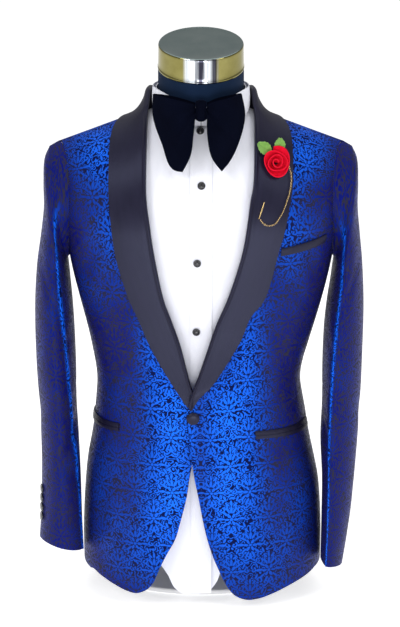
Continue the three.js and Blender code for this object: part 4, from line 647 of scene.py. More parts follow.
def neck_point(turn, radii, heights, inset=0.0, bend=1.6):
    """A ring round the neck, whose radius goes from front to side to behind with |cos|^1.6 and whose height
    does so with |cos|^bend."""
    ahead = np.cos(turn)

    def at(three, power):
        front, side, back = three
        return side + (np.where(ahead > 0, front, back) - side) * np.abs(ahead) ** power

    radius = at(radii, 1.6) - inset
    return np.stack([radius * np.sin(turn), NECK_MIDDLE - radius * ahead,
                     at(heights, bend) + 0 * turn], axis=-1)


def between(low, high, share):
    """Three values, each a share of the way from the low set to the high set."""
    return [mix(a, b, share) for a, b in zip(low, high)]


u, v = both_ways(120, 10)
turn = mix(0.4 * DEGREE, 359.6 * DEGREE, u)
stand = [neck_point(turn, between([62, 69.6, 70], [65.8, 67.9, 68.2], v),
                    between([761, 778.1, 761.5], [790, 808.5, 820], v), inset) for inset in (0, SHIRT_CLOTH)]
cloth_piece("shirt_stand", *stand, cotton, "shirting", "folded", ["form_body"])
u, v = both_ways(140, 16)
turn = mix(10 * DEGREE, 350 * DEGREE, u)
flare = (1 - v) * (1 + 9 * np.maximum(0, np.cos(turn)) ** 1.5) + 0.5 * np.sin(np.pi * v)
leaf = [neck_point(turn, [70.4, 72.4, 72.7], between([748, 783, 787], [793, 811, 822], v), inset - flare,
                   1.6 + 1.8 * v) for inset in (0, SHIRT_CLOTH)]
cloth_piece("shirt_leaf", *leaf, cotton, "shirting", "folded", ["tie_band_sewn"])

# The bow: black velvet, cut as two wide drooping wings that are pleated into a short knot on a narrow band
# round the neck. Its pile drinks light and shines only at its grazing edges.
velvet, tree, shader = new_material("black velvet", (0.001, 0.0015, 0.006), 0.95, Sheen_Weight=0.12,
                                    Sheen_Roughness=0.3, Sheen_Tint=(0.12, 0.18, 0.5, 1),
                                     Specular_IOR_Level=0.04)
pile = noise_in(tree, 420.0, 4.0)
crushed = noise_in(tree, 26.0, 2.0)
tree.links.new(colour_between(tree, crushed, (0.0006, 0.001, 0.004), (0.0016, 0.0026, 0.01)),
               shader.inputs[0])
raise_by(tree, shader, pile, 0.0006, 0.7)
VELVET_CLOTH = 1.8
TIE_FRONT = -71.6
TIE_SLOPE = 0.3
u, v = both_ways(120, 6)
turn = mix(3 * DEGREE, 357 * DEGREE, u)
band = [neck_point(turn, [68.4, 70.5, 70.8], between([772, 787, 796], [788, 803, 812], v), inset)
        for inset in (0, 1.4)]
cloth_piece("tie_band", *band, velvet, "velvet", "folded", ["shirt_stand_sewn"])


def behind(points, thickness):
    """The inner side of a wall whose outer side is a grid: each point moved in along the grid's normal."""
    normal = unit(np.cross(np.gradient(points, axis=1), np.gradient(points, axis=0)))
    return points - normal * thickness


def tie_wing(bottom, top, knot, fold, u, v, seed):
    """A wing seen from ahead between four curves; it goes out to its fold and comes back behind itself. Its
    front swells with a sine, and pleats from the knot die away towards the fold."""
    front = u <= 0.5
    share = np.where(front, u * 2, (1 - u) * 2)
    seen = patch(bottom, top, knot, fold)(share, v)
    x, z = seen[..., 0], seen[..., 1]
    hang = TIE_FRONT - (790 - z) * TIE_SLOPE + 20 * (x / 70) ** 2 * np.clip((z - 700) / 114, 0, 1)
    puff = 13 * np.sin(np.pi * np.minimum(1, share * 0.97)) ** 0.75
    pleats = 2.2 * (1 - share) * np.cos(v * 6 * np.pi) * share ** 0.3
    pleats += 1.7 * np.exp(-((v - 0.62 + 0.12 * share) / 0.07) ** 2) * np.sin(np.pi * share) ** 0.7
    pleats += (1.3 * np.exp(-((v - 0.3 - 0.1 * share) / 0.06) ** 2)
               * np.sin(np.pi * np.minimum(1, share * 1.3)))
    pleats -= 1.2 * np.exp(-((v - 0.47 - 0.05 * np.sin(seed + share * 3)) / 0.06) ** 2) * (1 - share)
    depth = np.where(front, -4.5 - puff - pleats, 4.5 + puff * 0.15 * (1 - v))
    return np.stack([x, hang + depth * (1 - share ** 8 * 0.6), z], axis=-1)


u, v = both_ways(96, 48)
left_wing = tie_wing(
    curve_through([[8.5, 777], [9, 755], [16, 724], [30.5, 702]]),
    curve_through([[8.5, 797], [20, 802], [38, 806], [60, 808.5]]),
    curve_through([[8.5, 777], [8.5, 797]]),
    curve_through([[30.5, 702], [41, 714], [57, 745], [65, 781], [60, 808.5]]), u, v, 0.4)
right_wing = mirror(tie_wing(
    curve_through([[8.5, 776], [11, 755], [15, 728], [27, 701]]),
    curve_through([[8.5, 797], [22, 801], [45, 805.5], [71, 807]]),
    curve_through([[8.5, 776], [8.5, 797]]),
    curve_through([[27, 701], [38, 703], [58, 741], [71.5, 781], [71, 807]]), u, v, 2.2))
cloth_piece("tie_wing_left", left_wing, behind(left_wing, VELVET_CLOTH), velvet, "velvet", "folded",
            ["tie_knot_wound"])
cloth_piece("tie_wing_right", right_wing, behind(right_wing, VELVET_CLOTH), velvet, "velvet", "folded",
            ["tie_knot_wound"])
KNOT = table("z half depth y", [
    [772, 4.5, 5, -4.5], [774, 7.4, 8, -4.5], [780, 8, 9.5, -4], [788, 7.8, 10, -2.5], [796, 8, 9.5, -1],
    [800.5, 7.4, 8, 0], [802, 4.5, 5, 0]])
levels = np.linspace(772, 802, 31)[:, None]
angles = np.linspace(0, 2 * np.pi, 64, endpoint=False)
tuck = 1 - 0.05 * np.exp(-((angles - 4.5) / 0.16) ** 2) - 0.04 * np.exp(-((angles - 5.05) / 0.14) ** 2)
knot = np.stack([read(KNOT, "half", levels) * np.cos(angles) * tuck,
                 TIE_FRONT + read(KNOT, "y", levels) + read(KNOT, "depth", levels) * np.sin(angles) * tuck,
                 levels + 0 * angles], axis=-1)
piece("tie_knot_wound", knot, rings_between(knot), velvet, ["tie_knot"])

# The coat's panels: two fronts, two side panels and two backs of figured jacquard, sewn with pressed-open
# seams that show as fine lines. The cloth is drawn in soft folds to the one fastened button.
JACKET_BODY = table("height width shift front back square", [
    [0, 189, 2, 112, 116, 0.03], [50, 190, 2, 115, 117, 0.03], [100, 190, 2, 117, 116, 0.03],
    [145, 188, 2, 118.5, 113, 0.03], [185, 184.5, 1.5, 120, 109, 0.03], [220, 179, 0, 121, 104, 0.03],
    [255, 172, -0.5, 122, 99, 0.03], [290, 166, -1, 122.5, 94, 0.03], [325, 161.5, -2.5, 123, 91, 0.03],
    [355, 160, -3.5, 122.5, 90, 0.03], [385, 163, -3, 121.5, 92, 0.03], [415, 169.5, -1.5, 121, 96, 0.03],
    [445, 177.5, -0.5, 120.5, 101, 0.032], [480, 186.5, 0, 120, 107, 0.035], [530, 198, 0, 119.5, 114, 0.04],
    [600, 209, 0, 118, 121, 0.045], [660, 213, 0, 118, 121, 0.045], [795, 217, 0, 118, 121, 0.04]])
JACKET = {"body": JACKET_BODY, "drop": 0, "side": 1}
JACKET_RIGHT = {**JACKET, "side": -1}
JACKET_CLOTH = 2
JACKET_ARMHOLE = {"reach": 27 * DEGREE, "bottom": 548, "top": TOP_CLIMB}
FRONT_SEAM_AROUND = 228 * DEGREE
BACK_SEAM_AROUND = 128 * DEGREE
FRONT_FOLDS = table("order fromX fromZ toX toZ depth breadth", [
    [0, 26, 342, 118, 412, 2.6, 10], [1, 30, 322, 138, 352, 2.4, 9], [2, 24, 306, 104, 262, 2.0, 11],
    [3, 40, 360, 128, 470, 1.8, 12], [4, 150, 610, 178, 520, 3.0, 12]])
# Smaller folds than the coat's main ones, all drawn to the button or hanging under the arm
FINE_FOLDS = table("order fromX fromZ toX toZ depth breadth", [
    [0, 18, 330, 96, 384, 1.1, 4.5], [1, 14, 318, 110, 330, 1.0, 4], [2, 30, 296, 140, 232, 1.1, 7],
    [3, 122, 420, 150, 330, 1.3, 8], [4, 118, 300, 160, 345, 1.0, 7], [5, 128, 560, 166, 470, 1.4, 8],
    [6, 96, 520, 130, 430, 0.8, 9], [7, 60, 250, 74, 90, 1.0, 12], [8, 110, 230, 124, 70, 1.3, 13],
    [9, 150, 210, 154, 60, 1.1, 10], [10, 132, 700, 152, 600, 0.9, 9]])
LEFT_EDGE = [[33, 56], [18.5, 92.5], [9.5, 123], [0.7, 166], [-8, 215], [-13.4, 253], [-17, 290], [-21, 318],
             [-21.5, 334], [-17.5, 350], [-12.2, 370], [-4.7, 391.5], [7.5, 428], [21, 468], [40, 513],
             [58, 570], [66.5, 615], [72, 656], [77, 694], [78, 741]]
LEFT_HEM = [[33, 56], [41, 40], [54.5, 23], [72.5, 15.2], [90.6, 16], [112, 22], [140, 32], [168, 41]]
RIGHT_EDGE = [[67, 65], [53, 95], [40, 121], [31, 154], [21.5, 196], [15, 240], [8, 275], [0, 305],
              [-2.5, 330], [3.5, 350], [14.3, 374], [20.5, 399], [30.5, 439], [44, 478], [56, 513],
              [67.4, 570], [74, 615], [79, 653], [80, 684], [79, 726]]
RIGHT_HEM = [[67, 65], [74.5, 45], [87, 30], [102, 23.6], [116, 25.5], [134, 32], [158, 42], [172, 47]]
SIDE_HEM = 47
BACK_HEM = 52
NECK_SIDE = 80
ROLL_INSET = 3.8
OVERLAP_LIFT = 7.5
SEAM_SHARE = 13 / 21
RIDGE = TOP_CLIMB - 0.45
SHOULDER_END = 6 * DEGREE
BACK_NECK = TOP_CLIMB - 87

# The jacquard: royal blue satin figures on a slate ground. Round flowers of petals and paired scrolls stand
# in a half-drop repeat with small four-leaved fillers. A painted highlight, held in a per-point attribute,
# turns the satin figures bright azure and the slate ground navy where the coat takes light.
REPEAT_WIDE = 60.0
REPEAT_HIGH = 90.0


def from_centre(x, y, shift_x, shift_y):
    """Coordinates from the nearest centre of a half-drop repeat that is shifted by shift_x and shift_y."""
    x1 = (x - shift_x).apply("WRAP", REPEAT_WIDE / 2, -REPEAT_WIDE / 2)
    y1 = (y - shift_y).apply("WRAP", REPEAT_HIGH / 2, -REPEAT_HIGH / 2)
    x2 = (x - shift_x - REPEAT_WIDE / 2).apply("WRAP", REPEAT_WIDE / 2, -REPEAT_WIDE / 2)
    y2 = (y - shift_y - REPEAT_HIGH / 2).apply("WRAP", REPEAT_HIGH / 2, -REPEAT_HIGH / 2)
    first = (x1 * x1 + y1 * y1).apply("LESS_THAN", x2 * x2 + y2 * y2)
    return x2 + (x1 - x2) * first, y2 + (y1 - y2) * first


def folded(radius, angle, count, offset=0.0):
    """Coordinates along and across the nearest of count spokes, the same on both sides of each spoke."""
    away = (angle + offset).apply("WRAP", np.pi / count, -np.pi / count).apply("ABSOLUTE")
    return radius * away.apply("COSINE"), radius * away.apply("SINE")


def round_spot(p, q, at_p, at_q, size):
    """How far a place lies outside a disc."""
    across, along = p - at_p, q - at_q
    return (across * across + along * along).apply("SQRT") - size


def petal(p, q, at_p, long, broad):
    """How far a place lies outside a long petal on a spoke, an ellipse's distance scaled by its breadth."""
    across, along = (p - at_p) * (1 / long), q * (1 / broad)
    return ((across * across + along * along).apply("SQRT") - 1.0) * broad


def scroll(p, q, at_p, at_q, size, thickness):
    """How far a place lies outside a ring's line."""
    return round_spot(p, q, at_p, at_q, size).apply("ABSOLUTE") - thickness / 2


def any_of(*shapes):
    """The union of shapes, as their smallest distance."""
    found = shapes[0]
    for shape in shapes[1:]:
        found = found.apply("MINIMUM", shape)
    return found


brocade, tree, shader = new_material(
    "figured jacquard", (0.02, 0.05, 0.45), 0.4, Specular_IOR_Level=0.22, Specular_Tint=(0.2, 0.4, 1.0, 1))
u, v, w = place_in(tree, "UV")
drift = noise_in(tree, 0.11, 2.0, kind="UV")
sway = noise_in(tree, 0.13, 2.0, kind="UV", stretch=(1.2, 0.9, 1))
u, v = u + (drift - 0.5) * 3.5, v + (sway - 0.5) * 3.5
x, y = from_centre(u, v, 15.0, 20.0)
x, up = x.apply("ABSOLUTE"), y
radius = (x * x + y * y).apply("SQRT")
angle = y.apply("ARCTAN2", x)
p, q = folded(radius, angle, 6)
heart = any_of(round_spot(x, y, 0.0, 0.0, 2.2), petal(p, q, 7.0, 3.6, 1.9))
# Each blade: its middle across and up, its half length and half breadth, and its lean from upright
BLADES = [[0, 16.5, 5.4, 2.0, 0], [5.4, 15.2, 5.2, 1.7, 32], [10.6, 10.4, 5.0, 1.6, 52],
          [15.5, 1.0, 5.0, 1.9, 92],
          [10.4, -9.4, 5.0, 1.6, 132], [4.6, -15, 4.8, 1.6, 152], [0, -18, 4.6, 1.7, 180],
          [19.6, 9.4, 4.2, 1.5, 20],
          [20.2, -9.6, 4.2, 1.5, 158], [0, 27.5, 4.4, 1.6, 0], [6.4, 25.6, 4.4, 1.5, 48],
          [7.2, -26.4, 4.2, 1.5, 122]]
# Each curl: its middle across and up, its radius and its line's breadth
CURLS = [[14.6, 16.6, 3.9, 2.1], [15.4, -16.2, 3.9, 2.1], [24.6, 2.2, 3.4, 1.9], [9.4, 20.9, 2.7, 1.7],
         [5.0, -21.8, 3.0, 1.8], [12.2, -25.6, 2.6, 1.6], [23.6, 18.4, 3.6, 1.9], [24.4, -19.6, 3.4, 1.8]]


def blade(across, upwards, long, broad, lean):
    """How far a place lies outside a leaning leaf on either side of the motif's middle line."""
    aside, climbs = x - across, up - upwards
    cosine, sine = float(np.cos(lean * DEGREE)), float(np.sin(lean * DEGREE))
    return petal(aside * sine + climbs * cosine, aside * cosine - climbs * sine, 0.0, long, broad)


def curl(across, upwards, size, thickness):
    """How far a place lies outside a ring that is open at one side and closes on a dot."""
    open_side = (x - across) * 0.7 + (up - upwards) * (0.7 if upwards > 0 else -0.7) - size * 0.45
    line = scroll(x, up, across, upwards, size, thickness).apply("MAXIMUM", open_side)
    return line.apply("MINIMUM", round_spot(x, up, across + size * 0.35, upwards, size * 0.34))


outside = any_of(heart, *(blade(*row) for row in BLADES), *(curl(*row) for row in CURLS))
vines = ((noise_in(tree, 0.09, 1.0, kind="UV") * 5.5).apply("FRACT") - 0.5).apply("ABSOLUTE").ramp(0.25, 0.17)
figure = outside.ramp(0.45, 0.0) + vines * outside.ramp(0.9, 1.3)
# Painted highlight and sheen: the coat's highlight attribute, mixed with clouds, turns the figures from deep
# royal blue to bright azure and the ground from charcoal violet to navy.
painted_highlight_node = tree.nodes.new("ShaderNodeAttribute")
painted_highlight_node.attribute_name = "painted_highlight"
painted_highlight = Field(tree, painted_highlight_node.outputs["Fac"])
clouds = noise_in(tree, 11.0, 3.0)
lit = (painted_highlight + (clouds - 0.5) * 0.55).ramp(0.0, 1.0)
twill = ((u + v) * 7.5).apply("SINE") * 0.5 + 0.5
# Painted sheen on the ground and painted highlight on the figures, both following the lit share.
ground = colour_between(tree, lit.ramp(0.0, 0.5), (0.024, 0.021, 0.036), (0.001, 0.003, 0.05))
satin_figure = colour_between(tree, lit, (0.002, 0.004, 0.15), (0.008, 0.15, 0.98))
tree.links.new(colour_between(tree, figure, ground, satin_figure), shader.inputs[0])
tree.links.new((figure * -0.3 + twill * 0.06 + 0.66).socket, shader.inputs["Roughness"])
raise_by(tree, shader, figure * 0.7 + twill * 0.3, 0.00035, 0.5)

# Painted highlights where the satin takes light, as seen from ahead on either side: x, z, reach across,
# reach up and strength
PAINTED_HIGHLIGHT_PLACES = [[44, 210, 46, 110, 1.0], [40, 340, 40, 60, 0.75], [70, 430, 26, 70, 0.55],
                 [150, 722, 44, 40, 0.8], [120, 615, 40, 75, 0.5],
                 [85, 95, 50, 70, 0.35], [150, 180, 30, 90, 0.2]]


def painted_highlight_at(points):
    """The share of painted azure highlight at points of the coat, the sum of soft spots on its two fronts."""
    x, z = np.abs(points[..., 0]), points[..., 2]
    total = np.zeros(x.shape)
    for at_x, at_z, across, up, strength in PAINTED_HIGHLIGHT_PLACES:
        total += strength * np.exp(-((x - at_x) / across) ** 2 - ((z - at_z) / up) ** 2)
    return np.clip(total * (points[..., 1] < BODY_MIDDLE), 0, 1)


def spread(turn, climb):
    """A place on the body as millimetres round it at an even radius, and its climb."""
    return np.stack(np.broadcast_arrays(np.asarray(turn) * ROUND_A_BODY, climb), axis=-1).astype(float)


front_seam_top = armhole_place(JACKET_ARMHOLE, FRONT_SEAM_AROUND)
back_seam_top = armhole_place(JACKET_ARMHOLE, BACK_SEAM_AROUND)
front_seam = curve_through([spread(66 * DEGREE, SIDE_HEM - 2), spread(front_seam_top[0] - 0.04, 330),
                            spread(*front_seam_top)])
back_seam = curve_through([spread(122 * DEGREE, SIDE_HEM + 2), spread(back_seam_top[0] + 0.12, 330),
                           spread(*back_seam_top)])


def seam_and_armhole(seam, start, stop):
    """A panel's long border: a seam up to the armpit, then the armhole on to the shoulder's tip."""
    def at(v):
        share = np.clip((v - SEAM_SHARE) / (1 - SEAM_SHARE), 0, 1)
        hole = armhole_place(JACKET_ARMHOLE, mix(start, stop, share))
        turn, climb = hole[..., 0], hole[..., 1]
        short = SHOULDER_END * smooth((climb - RIDGE + 30) / 30) * (-1 if stop > start else 1)
        return np.where((v <= SEAM_SHARE)[..., None], seam(np.clip(v / SEAM_SHARE, 0, 1)),
                        spread(turn + short, np.minimum(climb, RIDGE)))
    return at


def overlap_lift(x, z):
    """How far the closing front lies over the other one round the button."""
    return OVERLAP_LIFT * smooth((72 - x) / 60) * smooth((z - 180) / 70) * smooth((500 - z) / 130)


def no_lift(x, z):
    """The under front lies flat."""
    return np.zeros(np.shape(x))


near_ridge = (0.978, 0.992)
u, v = both_ways(52, 150, near_ridge)
neck_side_turn = float(turn_at(JACKET, np.array(float(NECK_SIDE + ROLL_INSET)), RIDGE))
for side_name, layer, edge, hem, lift in (("left", JACKET, LEFT_EDGE, LEFT_HEM, overlap_lift),
                                          ("right", JACKET_RIGHT, RIGHT_EDGE, RIGHT_HEM, no_lift)):
    edge_x, edge_z = np.array(edge).T
    rolled = np.stack(front_place(layer, edge_x + smooth((edge_z - 330) / 50) * ROLL_INSET, edge_z), axis=-1)
    hemmed = np.stack(front_place(layer, *np.array(hem).T), axis=-1)
    start = curve_through([*(rolled * [ROUND_A_BODY, 1]), spread(neck_side_turn, RIDGE)])
    bottom = curve_through([*(hemmed * [ROUND_A_BODY, 1]), front_seam(0.0)])
    top = lambda u: spread(mix(neck_side_turn, np.pi / 2 - SHOULDER_END, u), RIDGE)
    cut = patch(bottom, top, start, seam_and_armhole(front_seam, FRONT_SEAM_AROUND, 2 * np.pi))
    along, climb = np.moveaxis(cut(u, v), -1, 0)
    turn = along / ROUND_A_BODY - HALF_GAP_TURN * u
    seen = body_point(layer, turn, climb)
    folds = trough_depth(FRONT_FOLDS, seen[..., 0], seen[..., 2])
    fine = trough_depth(FINE_FOLDS, seen[..., 0], seen[..., 2]) - 0.5
    fine *= smooth((seen[..., 0] - 20) / 50)
    out = lift(seen[..., 0], seen[..., 2]) - folds - fine
    outer = seam_point(layer, turn, climb, out)
    inner = seam_point(layer, turn, climb, out - JACKET_CLOTH)
    uv = cut_places(layer, turn, climb)
    painted_highlight_share = painted_highlight_at(seen)
    if side_name == "right":
        outer, inner = mirror(outer), mirror(inner)
        uv = uv[:, ::-1] * [-1, 1]
        painted_highlight_share = painted_highlight_share[:, ::-1]
    cloth_piece("jacket_front_" + side_name, outer, inner, brocade, "brocade", "draped",
                ["shirt_front_" + side_name + "_sewn"], uv=uv, shares=painted_highlight_share)

u, v = both_ways(34, 110)
side_cut = patch(
    curve_through([front_seam(0.0), spread(94 * DEGREE, SIDE_HEM), back_seam(0.0)]),
    lambda u: armhole_place(JACKET_ARMHOLE, mix(FRONT_SEAM_AROUND, BACK_SEAM_AROUND, u)) * [ROUND_A_BODY, 1],
    front_seam, back_seam)
along, climb = np.moveaxis(side_cut(u, v), -1, 0)
turn = along / ROUND_A_BODY + HALF_GAP_TURN * (1 - 2 * u)
waist = 1.1 * np.sin(np.pi * u) ** 2 * np.cos(climb / 17 + 3 * u) * np.exp(-((climb - 360) / 70) ** 2)
for side_name, layer in (("left", JACKET), ("right", JACKET_RIGHT)):
    outer = body_point_out(layer, turn, climb, waist)
    inner = body_point_out(layer, turn, climb, waist - JACKET_CLOTH)
    uv = cut_places(layer, turn, climb)
    painted_highlight_share = painted_highlight_at(outer)
    if side_name == "right":
        outer, inner = mirror(outer), mirror(inner)
        uv = uv[:, ::-1] * [-1, 1]
        painted_highlight_share = painted_highlight_share[:, ::-1]
    cloth_piece("jacket_side_" + side_name, outer, inner, brocade, "brocade", "draped", ["shirt_back_sewn"],
                uv=uv, shares=painted_highlight_share)

u, v = both_ways(50, 150, near_ridge)
NECK_SHARE = 2 / 7
neck_behind = curve_through([spread(np.pi - neck_side_turn, RIDGE), spread(159.5 * DEGREE, TOP_CLIMB - 44),
                             spread(168.7 * DEGREE, TOP_CLIMB - 75), spread(np.pi, BACK_NECK)])


def back_top(u):
    """The back's top border: the shoulder seam in from the sleeve, then the neckline to its middle."""
    tip = 1 - NECK_SHARE
    seam = spread(mix(np.pi / 2 + SHOULDER_END, np.pi - neck_side_turn, np.clip(u / tip, 0, 1)), RIDGE)
    return np.where((u >= tip)[..., None], neck_behind(np.clip((u - tip) / NECK_SHARE, 0, 1)), seam)


back_cut = patch(
    curve_through([back_seam(0.0), spread(150 * DEGREE, BACK_HEM), spread(np.pi, BACK_HEM + 1)]), back_top,
    seam_and_armhole(back_seam, BACK_SEAM_AROUND, 0),
    curve_through([spread(np.pi, BACK_HEM + 1), spread(np.pi, BACK_NECK)]), lambda u: 1 - (1 - u) ** 1.8)
along, climb = np.moveaxis(back_cut(u, v), -1, 0)
turn = along / ROUND_A_BODY + HALF_GAP_TURN * (1 - 2 * u)
BACK_FOLDS = table("order fromX fromZ toX toZ depth breadth", [
    [0, 20, 372, 120, 340, 1.5, 8], [1, 30, 350, 128, 372, 1.2, 7], [2, 130, 640, 165, 520, 2.0, 12],
    [3, 112, 600, 150, 480, 1.2, 9], [4, 30, 690, 90, 705, 0.9, 9], [5, 60, 240, 78, 70, 1.4, 14]])
for side_name, layer in (("left", JACKET), ("right", JACKET_RIGHT)):
    seen = body_point(layer, turn, climb)
    out = -trough_depth(BACK_FOLDS, seen[..., 0], seen[..., 2])
    outer = seam_point(layer, turn, climb, out)
    inner = seam_point(layer, turn, climb, out - JACKET_CLOTH)
    for wall in (outer, inner):
        wall[..., 0] = np.maximum(wall[..., 0], SEAM_GAP / 2)
    uv = cut_places(layer, turn, climb)
    painted_highlight_share = np.zeros(u.shape)
    if side_name == "right":
        outer, inner = mirror(outer), mirror(inner)
        uv = uv[:, ::-1] * [-1, 1]
    cloth_piece("jacket_back_" + side_name, outer, inner, brocade, "brocade", "draped", ["shirt_back_sewn"],
                uv=uv, shares=painted_highlight_share)

# The coat's sleeves: a wide top piece and a narrow under piece each, hanging from the shoulder with folds at
# the elbow. A crease is pressed down the front of each, and a painted highlight runs bright along it.
LEFT_SLEEVE = table("order outerX outerZ innerX innerZ front back crease", [
    [0, 229, 717, 204.5, 545, -54, 66, 0], [1, 236.5, 699, 205, 537, -59, 69, 0],
    [2, 238.5, 670, 203.5, 526, -63, 71, 1], [3, 238.5, 630, 201.5, 513, -67, 72, 3],
    [4, 242.5, 588, 199, 497, -72, 72, 6], [5, 247.5, 538, 194.5, 471, -77, 68, 9],
    [6, 250.5, 474, 190.5, 433, -82, 62, 11], [7, 249.5, 398, 188.5, 378, -88, 52, 13],
    [8, 247.5, 322, 188, 316, -93, 42, 14], [9, 244, 262, 187, 258, -97, 32, 14],
    [10, 239.5, 200, 190, 198, -100, 20, 13], [11, 233.5, 132, 190, 134, -101, 8, 11],
    [12, 223.5, 60, 189.5, 64, -100, 2, 8]])
RIGHT_SLEEVE = table("order outerX outerZ innerX innerZ front back crease", [
    [0, 229.5, 717, 204.5, 545, -54, 66, 0], [1, 237, 699, 205, 537, -59, 69, 0],
    [2, 239, 670, 204, 526, -63, 71, 0], [3, 239, 630, 202.5, 513, -67, 72, 0],
    [4, 244, 588, 201, 498, -72, 72, 1], [5, 251.5, 536, 198.5, 474, -77, 68, 2],
    [6, 255.5, 473, 196, 436, -82, 61, 3], [7, 255, 398, 194, 380, -87, 50, 4],
    [8, 251.5, 322, 193, 318, -92, 38, 4], [9, 249, 254, 190.5, 252, -95, 28, 4],
    [10, 249.5, 196, 188.5, 194, -96, 17, 3], [11, 251.5, 145, 187.5, 138, -95, 7, 2],
    [12, 254.5, 103, 186, 81, -93, 2, 1]])
SLEEVE_FOLDS = table("number order around tilt depth breadth", [
    [0, 3.6, 250, 0.9, 2.6, 0.34], [1, 5.0, 282, -0.7, 2.2, 0.36], [2, 8.6, 214, 0.6, 4.2, 0.30],
    [3, 9.5, 236, -0.5, 2.4, 0.28], [4, 8.0, 330, 0.5, 1.8, 0.34], [5, 10.6, 300, 0.6, 1.6, 0.30]])
FINE_SLEEVE_FOLDS = table("number order around tilt depth breadth", [
    [0, 1.6, 262, 0.6, 1.2, 0.24], [1, 2.6, 232, -0.8, 1.3, 0.26], [2, 6.3, 226, 0.7, 1.4, 0.22],
    [3, 7.2, 238, -0.4, 1.5, 0.20], [4, 7.9, 206, 0.5, 1.4, 0.18], [5, 9.1, 262, 0.8, 1.0, 0.2],
    [6, 6.8, 120, 0.6, 1.6, 0.26], [7, 8.3, 96, -0.6, 1.4, 0.24], [8, 4.2, 60, 0.7, 1.2, 0.3],
    [9, 11.2, 232, 0.5, 1.0, 0.2], [10, 2.0, 330, -0.5, 1.0, 0.26]])
LEFT_CREASE = table("order around", [[0, 250], [6, 250], [12, 249]])
RIGHT_CREASE = table("order around", [[0, 268], [3, 254], [5, 241], [7, 226], [9, 208], [12, 190]])
CUFF_SLANT = 8
SLEEVE_ORDER = 12


def sleeve_fold(folds, around, order):
    """The sum of bent troughs across a sleeve, each a half cosine round it and a bell down it."""
    total = np.zeros(np.broadcast(around, order).shape)
    for at_order, at_around, lean, depth, breadth in zip(*(folds[c] for c in list(folds)[1:])):
        turned_by = around / DEGREE - at_around
        turned_by = turned_by - 360 * np.round(turned_by / 360)
        share = np.clip(turned_by / 58, -1, 1)
        away = order - at_order - lean * share
        total += depth * np.cos(share * np.pi / 2) * np.exp(-(away / breadth) ** 2)
    return total


def sleeve_point(layer, hole, sections, around, order, inset, fine=0.0):
    """A point of a sleeve: a section's oval leans with the arm, and its front crease is turned inwards. From
    order 0 to -1 it goes over to the armhole. inset and fine move it inwards."""
    around, order = np.broadcast_arrays(np.asarray(around, float), np.asarray(order, float))
    key = np.maximum(order, 0)
    now = {column: read(sections, column, key) for column in list(sections)[1:]}
    lean = np.stack([now["outerX"] - now["innerX"], 0 * key, now["outerZ"] - now["innerZ"]], axis=-1)
    half = np.linalg.norm(lean, axis=-1) / 2
    lean = unit(lean)
    middle = np.stack([(now["outerX"] + now["innerX"]) / 2, (now["front"] + now["back"]) / 2,
                       (now["outerZ"] + now["innerZ"]) / 2], axis=-1)
    deep = (now["back"] - now["front"]) / 2
    cosine, sine = np.cos(around), np.sin(around)
    flat = smooth(key / 7)
    bend = np.where(sine < 0, mix(1, 1.12, flat), mix(1, 0.86, flat))
    across = np.sign(cosine) * np.abs(cosine) ** bend
    taken = inset + np.where(order > 0, sleeve_fold(SLEEVE_FOLDS, around, order) + fine, 0)
    point = middle + lean * (across * (half - taken) - now["crease"] * np.maximum(0, -sine) ** 3)[..., None]
    point[..., 1] += sine * (deep - taken)
    point[..., 2] -= CUFF_SLANT * sine * smooth((key - 9) / 3)
    place = armhole_place(hole, around)
    root = body_point(layer, place[..., 0], np.minimum(place[..., 1], RIDGE))
    inward = body_point(layer, np.pi / 2, (hole["top"] + hole["bottom"]) / 2) - root
    inward[..., 0] = 0
    root = root + unit(inward) * np.asarray(inset)[..., None] + [0.5, 0, 0]
    return mix(point, root, np.clip(-order, 0, 1)[..., None])


front_step = (2 * np.pi - FRONT_SEAM_AROUND) / 8
back_step = BACK_SEAM_AROUND / 8
gap = SEAM_GAP / 2 / 60
TOP_TURNS = (FRONT_SEAM_AROUND + front_step + gap, 2 * np.pi + BACK_SEAM_AROUND - back_step - gap)
UNDER_TURNS = (BACK_SEAM_AROUND - back_step + gap, FRONT_SEAM_AROUND + front_step - gap)
orders = np.concatenate([np.linspace(12, 0, 150), np.linspace(-0.04, -1, 14)])
for side_name, sections, crease in (("left", LEFT_SLEEVE, LEFT_CREASE),
                                    ("right", RIGHT_SLEEVE, RIGHT_CREASE)):
    for part, (low, high), count in (("top", TOP_TURNS, 96), ("under", UNDER_TURNS, 54)):
        around, order = np.meshgrid(np.linspace(low, high, count + 1), orders)
        pressed = (around - read(crease, "around", np.maximum(order, 0)) * DEGREE) / 0.075
        ridge = np.exp(-pressed ** 2) * smooth((order + 0.2) / 1.5)
        fine = sleeve_fold(FINE_SLEEVE_FOLDS, around, order) - 1.7 * ridge
        walls = [sleeve_point(JACKET, JACKET_ARMHOLE, sections, around, order, inset, fine)
                 for inset in (0, JACKET_CLOTH)]
        # A painted highlight along the pressed crease, passed to the jacquard's highlight attribute.
        crease_highlight = np.exp(-(pressed / 1.5) ** 2) * 0.95 * smooth((order + 0.6) / 1.5)
        uv = grid_places(walls[0])
        if side_name == "right":
            walls = [mirror(wall) for wall in walls]
            uv, crease_highlight = uv[:, ::-1], crease_highlight[:, ::-1]
        cloth_piece(f"sleeve_{part}_{side_name}", *walls, brocade, "brocade", "hung",
                    [f"jacket_front_{side_name}_sewn"], uv=uv, shares=crease_highlight)

